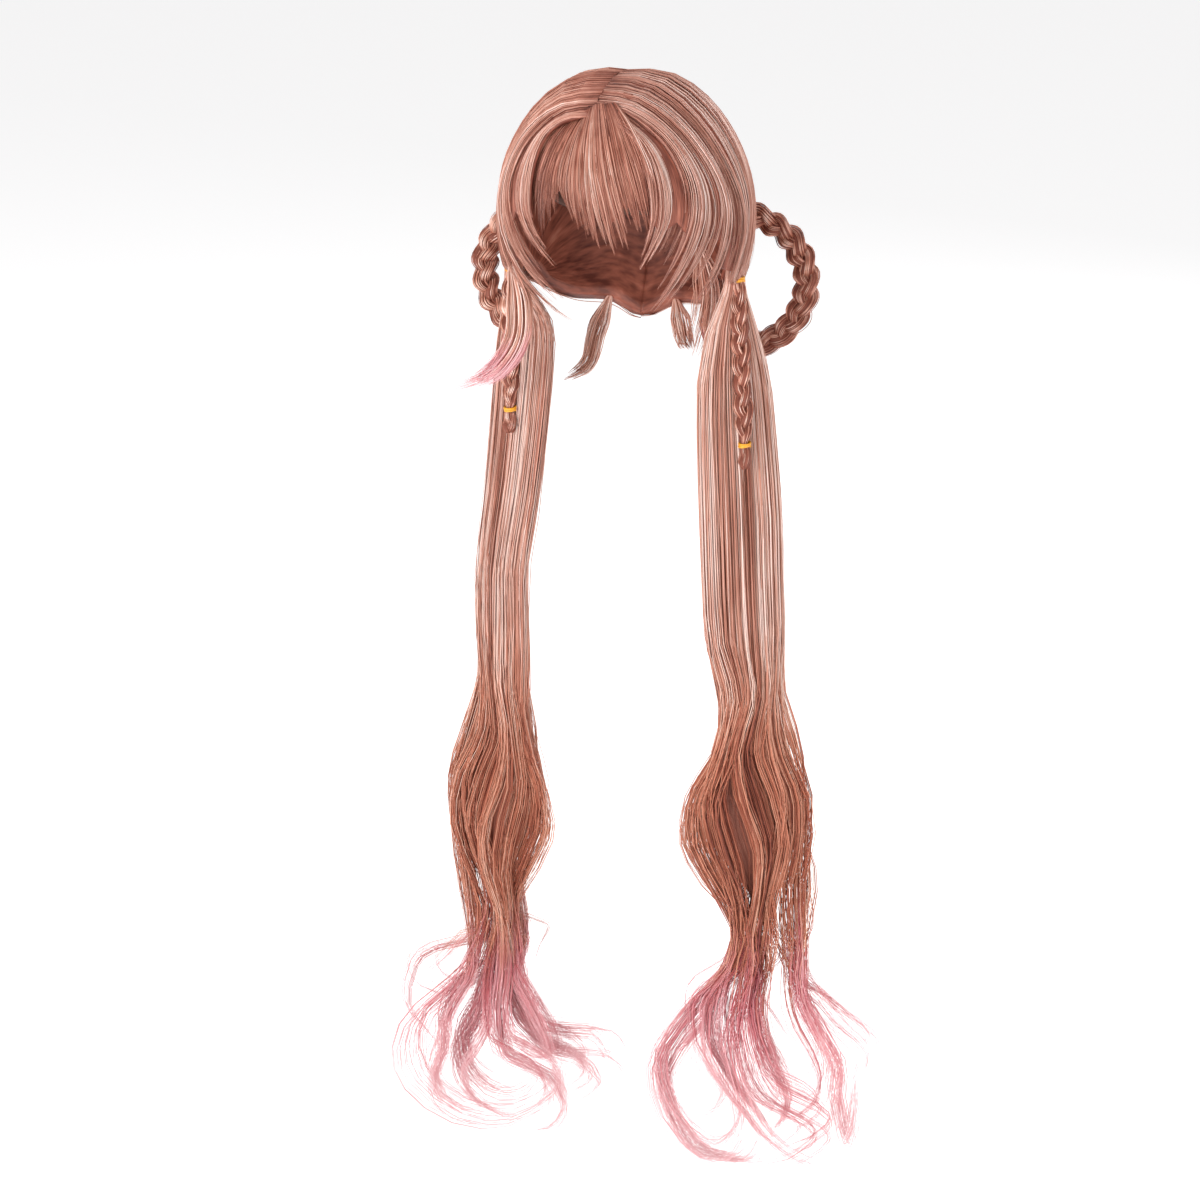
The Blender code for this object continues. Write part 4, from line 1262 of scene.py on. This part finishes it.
def comb(name, guides, seed, **wanted):
    """Combs guides out into a plain mesh of strands."""
    look = bpy.context.scene.wig_look
    tree = bpy.data.node_groups.get("comb_strands") or strand_tree()
    holder = add_object(name + "_guides", guide_mesh(name + "_guides", guides))
    modifier = holder.modifiers.new("comb", 'NODES')
    modifier.node_group = tree
    values = {"Strand Radius": look.strand_radius, "Loose": look.loose, "Seed": seed,
              "Material": finish_for("strand"), **wanted}
    for socket in tree.interface.items_tree:
        if socket.in_out == 'INPUT' and socket.name in values:
            modifier[socket.identifier] = values[socket.name]
    depsgraph = bpy.context.evaluated_depsgraph_get()
    evaluated = holder.evaluated_get(depsgraph)
    mesh = bpy.data.meshes.new_from_object(evaluated, preserve_all_data_layers=True,
                                           depsgraph=depsgraph)
    bpy.data.objects.remove(holder)
    if not mesh.polygons:
        raise RuntimeError(f"no strands were made for {name}")
    mesh.name = name
    mesh.uv_layers["OFBake"].active_render = True
    return add_object(name, mesh)


def add_object(name, data):
    made = bpy.data.objects.new(name, data)
    bpy.context.scene.collection.objects.link(made)
    return made


def tubes(name, runs, finish, closed=False):
    """Closed bodies lofted through rings; each run is a list of rings of one size."""
    points, faces, coordinates = [], [], []
    for rings in runs:
        start, sides, count = len(points), len(rings[0]), len(rings)
        for ring in rings:
            points += [tuple(place) for place in ring]
        for i in range(count if closed else count - 1):
            for k in range(sides):
                a, b = start + i * sides, start + ((i + 1) % count) * sides
                after = (k + 1) % sides
                faces.append((a + k, a + after, b + after, b + k))
                u, v = k / sides, i / (count - 1)
                right, low = (k + 1) / sides, (i + 1) / (count - 1)
                coordinates += [(u, v), (right, v), (right, low), (u, low)]
        if not closed:
            for first in (start, start + (count - 1) * sides):
                for k in range(sides // 2 - 1):
                    far = sides - 1 - k
                    faces.append((first + k, first + far, first + far - 1, first + k + 1))
                    coordinates += [(0.0, 0.0), (0.01, 0.0), (0.01, 0.01), (0.0, 0.01)]
    mesh = bpy.data.meshes.new(name)
    mesh.from_pydata(points, [], faces)
    layer = mesh.uv_layers.new(name="lay")
    layer.data.foreach_set("uv", np.asarray(coordinates, np.float32).ravel())
    turn_outwards(mesh)
    mesh.shade_smooth()
    mesh.materials.append(finish)
    return add_object(name, mesh)


def turn_outwards(mesh):
    shape = bmesh.new()
    shape.from_mesh(mesh)
    bmesh.ops.recalc_face_normals(shape, faces=shape.faces)
    shape.to_mesh(mesh)
    shape.free()


def place_piece(piece, slot, *nodes):
    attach(piece, "root")
    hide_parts(*nodes)


def place_base(name, slot, runs, finish):
    """Lays the plain hair under the strands of a node, in a dark finish that is painted shade."""
    place_piece(tubes(name + "_base", runs, finish_for(finish)), slot, name)


def panel_rings(form, grid, sunk, stop):
    """Rings of the hair under a form's strands, cut a little shorter than they are."""
    lines, rows = grid
    values = np.linspace(0, form.last, lines)
    ends = [stop + (1 - stop) * (1 - form.free(line)) for line in values]
    rings = []
    for row in range(rows + 1):
        places = [(line, np.array((row / rows * end,))) for line, end in zip(values, ends)]
        outside = [form.outer(line, share, sunk)[0] for line, share in places]
        inside = [form.inner(line, share)[0] for line, share in places]
        rings.append(outside + inside[::-1])
    return rings


def place_braid(name, path, across, sizes, twists, strands, tone, seed, **wanted):
    """Combs the plies of a braid over their plain cores."""
    guides, cores = braid_guides(path, across, sizes, twists, strands, tone,
                                 np.random.default_rng(seed - 1))
    piece = comb(name + "_hair", guides, seed, Fullness=0.06, **wanted, **BRAID_SHADING)
    place_piece(piece, "braided_hair", name)
    place_base(name, "braided_hair", cores, "root")


# Sizes and colours that a user may change

def colour_of(name, description, default):
    return FloatVectorProperty(name=name, description=description, subtype='COLOR',
                               default=default, min=0, max=1)


class WigLook(bpy.types.PropertyGroup):
    strand_radius: FloatProperty(
        name="Strand Radius", description="Half the thickness of one strand of fibre",
        default=0.00042, min=0.0001, max=0.002, precision=5, unit='LENGTH')
    loose: FloatProperty(
        name="Loose", description="How far single strands stray from their lock",
        default=0.0050, min=0.0, max=0.03, precision=4, unit='LENGTH')
    crown_strands: IntProperty(
        name="Crown Strands", description="Strands in each lock of the crown", default=29, min=4,
        max=48)
    fringe_strands: IntProperty(
        name="Fringe Strands", description="Strands in each lock of the fringe", default=36,
        min=4, max=48)
    braid_strands: IntProperty(
        name="Braid Strands", description="Strands on each ply of a ring braid", default=28,
        min=4, max=60)
    shade_deep: colour_of("Deepest Shade", "Fibre colour in the shade", (0.085, 0.020, 0.012))
    shade_low: colour_of("Low Shade", "Darker fibre", (0.28, 0.092, 0.060))
    shade_mid: colour_of("Middle Shade", "The main colour of the fibre", (0.50, 0.222, 0.162))
    shade_light: colour_of("Light Shade", "Lighter fibre", (0.68, 0.405, 0.330))
    shade_pale: colour_of("Palest Shade", "The palest single fibres", (0.86, 0.66, 0.60))
    copper: colour_of("Copper", "Warm cast of the tails", (0.66, 0.40, 0.27))
    dye_deep: colour_of("Deep Dye", "Dyed ends in the shade", (0.50, 0.085, 0.105))
    dye_mid: colour_of("Dye", "Dyed ends", (0.72, 0.265, 0.290))
    dye_pale: colour_of("Pale Dye", "The palest dyed ends", (0.86, 0.52, 0.54))
    net_dark: colour_of("Net Shade", "Cap net in the shade", (0.055, 0.028, 0.022))
    net_light: colour_of("Net", "Threads of the cap net", (0.20, 0.105, 0.080))
    rubber_dark: colour_of("Band Shade", "Rubber bands where they cloud", (0.62, 0.24, 0.01))
    rubber_light: colour_of("Band", "Rubber bands", (0.82, 0.39, 0.02))
    floor_colour: colour_of("Floor", "Plain studio floor", (0.90, 0.90, 0.905))


class WIG_OT_cap(bpy.types.Operator):
    """Makes the net cap that carries the hair"""
    bl_idname = "wig.cap"
    bl_label = "Cap"

    def execute(self, context):
        rings = cap_rings(CAP_WALL) + cap_rings(0.0)[::-1]
        place_piece(tubes("cap_net", [rings], finish_for("net")), "cap_net", "cap")
        return {'FINISHED'}


class WIG_OT_crown(bpy.types.Operator):
    """Combs the hair on the head, from the parting to the tips and the ties"""
    bl_idname = "wig.crown"
    bl_label = "Crown Hair"

    def execute(self, context):
        look = context.scene.wig_look
        for side in SIDES:
            form = Crown(side)
            name = f"crown_{side.word}"
            inward, back, down = MEETING
            tie = np.array((side.sign * (TIE_OUT - inward), TIE_BACK + back, -TIE_DROP - down))
            guides = comb_form(form, np.random.default_rng(11 + side.sign), LOCK_WIDTH, LOCK_RISE,
                               LINE_POINTS, look.crown_strands, CROWN_TONE, CROWN_WARM, tie)
            piece = comb(name + "_hair", guides, 20 + side.sign, Fullness=0.42, Underside=0.25,
                         Ragged=0.14)
            place_piece(piece, "hair", name)
            place_base(name, "hair", [panel_rings(form, BASE_GRID, BASE_SUNK, BASE_STOP)], "root")
        return {'FINISHED'}


class WIG_OT_fringe(bpy.types.Operator):
    """Combs the fan of hair over the forehead"""
    bl_idname = "wig.fringe"
    bl_label = "Fringe"

    def execute(self, context):
        look = context.scene.wig_look
        form = Brow()
        guides = comb_form(form, np.random.default_rng(31), FRINGE_LOCK_WIDTH, FRINGE_LOCK_RISE,
                           FRINGE_POINTS, look.fringe_strands, FRINGE_TONE, FRINGE_WARM)
        piece = comb("fringe_hair", guides, 32, Fullness=0.42, Underside=0.3, Ragged=0.15,
                     **{"Strand Radius": FRINGE_STRAND_RADIUS})
        place_piece(piece, "hair", "fringe")
        rings = panel_rings(form, FRINGE_BASE_GRID, FRINGE_BASE_SUNK, FRINGE_BASE_STOP)
        place_base("fringe", "hair", [rings], "root")
        return {'FINISHED'}


class WIG_OT_tails(bpy.types.Operator):
    """Combs the two long tails and their curled, dyed ends"""
    bl_idname = "wig.tails"
    bl_label = "Tails"

    def execute(self, context):
        for side in SIDES:
            name = f"tail_{side.word}"
            guides = tail_guides(side, np.random.default_rng(51 + side.sign))
            piece = comb(name + "_hair", guides, 52 + side.sign, Fullness=0.5, Ragged=0.06,
                         Loose=0.011, Wander=4.0)
            place_piece(piece, "hair", name)
            place_base(name, "hair", [tail_core(side)], "under")
        return {'FINISHED'}


class WIG_OT_ring_braids(bpy.types.Operator):
    """Plaits the two braids that loop into rings behind the tails"""
    bl_idname = "wig.ring_braids"
    bl_label = "Ring Braids"

    def execute(self, context):
        look = context.scene.wig_look
        shares = np.linspace(0, 1, RING_POINTS)
        grown = np.minimum(0.5 + 6 * shares, 0.45 + 5 * (1 - shares))
        for side in SIDES:
            place_braid(f"ring_braid_{side.word}", ring_path(side.sign, RING_POINTS), (0.2, 1, 0),
                        RING_BRAID_HALF * np.minimum(1.0, grown), BRAID_TWISTS,
                        look.braid_strands, BRAID_TONE, 72 + side.sign, Ragged=0.02, Loose=0.0006,
                        Wander=9.0)
        return {'FINISHED'}


class WIG_OT_plaits(bpy.types.Operator):
    """Plaits the small braids at the tops of the tails"""
    bl_idname = "wig.plaits"
    bl_label = "Small Plaits"

    def execute(self, context):
        shares = np.linspace(0, 1, PLAIT_POINTS)
        for side in SIDES:
            top, end, length, ties = plait_line(side)
            near = np.minimum(np.abs(shares - ties[0]), np.abs(shares - ties[1])) * length
            grown = np.clip((near - ELASTIC_WIRE * 2) / PLAIT_SWELL, 0, 1)
            sizes = PLAIT_NECK + (PLAIT_HALF - PLAIT_NECK) * grown ** 0.7
            sizes = sizes * (1 - 0.55 * ease(0.955, 1.0, shares))
            place_braid(f"plait_{side.word}", top + (end - top) * shares[:, None], (0, 1, 0),
                        sizes, PLAIT_TWISTS, PLAIT_STRANDS, PLAIT_TONE, 92 + side.sign,
                        Ragged=0.04, Loose=0.0005, Wander=7.0)
        return {'FINISHED'}


class WIG_OT_elastics(bpy.types.Operator):
    """Winds the small rubber bands round the plaits"""
    bl_idname = "wig.elastics"
    bl_label = "Rubber Bands"

    def execute(self, context):
        half = ELASTIC_WIRE * 0.85
        for side in SIDES:
            top, end, _, ties = plait_line(side)
            for level, share in zip(("upper", "lower"), ties):
                name = f"elastic_{level}_{side.word}"
                path = top + (end - top) * share + band_turns(side.sign, share)
                width, depth = frames(path, (0, 0, 1))
                rings = rings_round(path, width * half, depth * half, CORD_SIDES)
                piece = tubes(name + "_band", [rings], finish_for("rubber"))
                place_piece(piece, "elastic", name)
        return {'FINISHED'}


class WIG_OT_side_locks(bpy.types.Operator):
    """Combs the flicked side locks and the short locks at the nape"""
    bl_idname = "wig.side_locks"
    bl_label = "Side Locks"

    def execute(self, context):
        for side in SIDES:
            rng = np.random.default_rng(111 + side.sign)
            name = f"flick_{side.word}"
            guides = swept_guides(side.flick, side.sign, (1, side.sign * -0.3, 0),
                                  FLICK_HALF_WIDTH, FLICK_HALF_DEPTH, rng, count=9, strands=18,
                                  closing=0.35, dye_from=0.52)
            piece = comb(name + "_hair", guides, 112 + side.sign, Fullness=0.5, Ragged=0.22,
                         Loose=0.009)
            place_piece(piece, "hair", name)
            name = f"nape_lock_{side.word}"
            guides = swept_guides(side.nape, side.sign, (1, 0, 0), NAPE_HALF_WIDTH,
                                  NAPE_HALF_DEPTH, rng, count=6, strands=18, closing=0.9)
            piece = comb(name + "_hair", guides, 114 + side.sign, Fullness=0.5, Ragged=0.16,
                         Loose=0.006)
            place_piece(piece, "hair", name)
        guides = swept_guides(WISPS, 1, (1, 0, 0), WISPS_HALF_WIDTH, WISPS_HALF_DEPTH, rng,
                              count=7, strands=9, closing=0.6)
        piece = comb("nape_wisps_hair", guides, 118, Fullness=0.6, Ragged=0.35, Loose=0.010)
        place_piece(piece, "hair", "nape_lock_right")
        return {'FINISHED'}


class WIG_OT_stage(bpy.types.Operator):
    """Sets the plain floor, the soft studio lights and the camera"""
    bl_idname = "wig.stage"
    bl_label = "Stage"

    def execute(self, context):
        scene = context.scene
        scene.view_settings.view_transform = 'Standard'
        low = CAD_BOX[0][2] - FLOOR_CLEARANCE
        corners = [(x * FLOOR_REACH, y * FLOOR_REACH, low)
                   for x, y in ((-1, -1), (1, -1), (1, 1), (-1, 1))]
        mesh = bpy.data.meshes.new("studio_floor")
        mesh.from_pydata(corners, [], [(0, 1, 2, 3)])
        material, tree, shader = new_finish("studio_floor")
        colour = (*scene.wig_look.floor_colour, 1.0)
        wire(tree, shader, Base_Color=colour, Roughness=0.85, Emission_Color=colour,
             Emission_Strength=FLOOR_GLOW)
        mesh.materials.append(material)
        add_object("studio_floor", mesh)

        for lamp in LAMPS:
            light = bpy.data.lights.new(lamp.name, 'AREA')
            light.shape = 'DISK'
            light.size = lamp.size
            light.energy = lamp.power
            holder = add_object(lamp.name, light)
            holder.location = lamp.place
            aim = Vector(LAMP_AIM) - Vector(lamp.place)
            holder.rotation_euler = aim.to_track_quat('-Z', 'Y').to_euler()
        world = bpy.data.worlds.new("studio_air")
        world.use_nodes = True
        air = world.node_tree.nodes["Background"]
        air.inputs["Color"].default_value = AIR_COLOUR
        air.inputs["Strength"].default_value = AIR_STRENGTH
        scene.world = world

        data = bpy.data.cameras.new("camera")
        data.sensor_width = SENSOR_WIDTH
        data.lens = SENSOR_WIDTH * VIEW_DISTANCE / VIEW_FIELD
        camera = add_object("camera", data)
        back = Vector(heading(VIEW_TURN, VIEW_RISE))
        camera.location = Vector(VIEW_TARGET) + back * VIEW_DISTANCE
        camera.rotation_euler = (-back).to_track_quat('-Z', 'Y').to_euler()
        scene.camera = camera
        return {'FINISHED'}


OPERATORS = (WIG_OT_cap, WIG_OT_crown, WIG_OT_fringe, WIG_OT_tails, WIG_OT_ring_braids,
             WIG_OT_plaits, WIG_OT_elastics, WIG_OT_side_locks, WIG_OT_stage)


class WIG_PT_sidebar(bpy.types.Panel):
    """Lists the wig's pieces and its sizes and colours"""
    bl_idname = "WIG_PT_sidebar"
    bl_label = "Wig"
    bl_space_type = 'VIEW_3D'
    bl_region_type = 'UI'
    bl_category = "Wig"

    def draw(self, context):
        layout = self.layout
        look = context.scene.wig_look
        for name in look.bl_rna.properties.keys():
            if name not in {"rna_type", "name"}:
                layout.prop(look, name)
        for operator in OPERATORS:
            layout.operator(operator.bl_idname)


def register():
    bpy.utils.register_class(WigLook)
    bpy.types.Scene.wig_look = PointerProperty(type=WigLook)
    for item in (*OPERATORS, WIG_PT_sidebar):
        bpy.utils.register_class(item)


def unregister():
    for item in (WIG_PT_sidebar, *reversed(OPERATORS)):
        bpy.utils.unregister_class(item)
    del bpy.types.Scene.wig_look
    bpy.utils.unregister_class(WigLook)


def main():
    register()
    for operator in OPERATORS:
        family, name = operator.bl_idname.split(".")
        getattr(getattr(bpy.ops, family), name)()


if __name__ == "__main__":
    main()
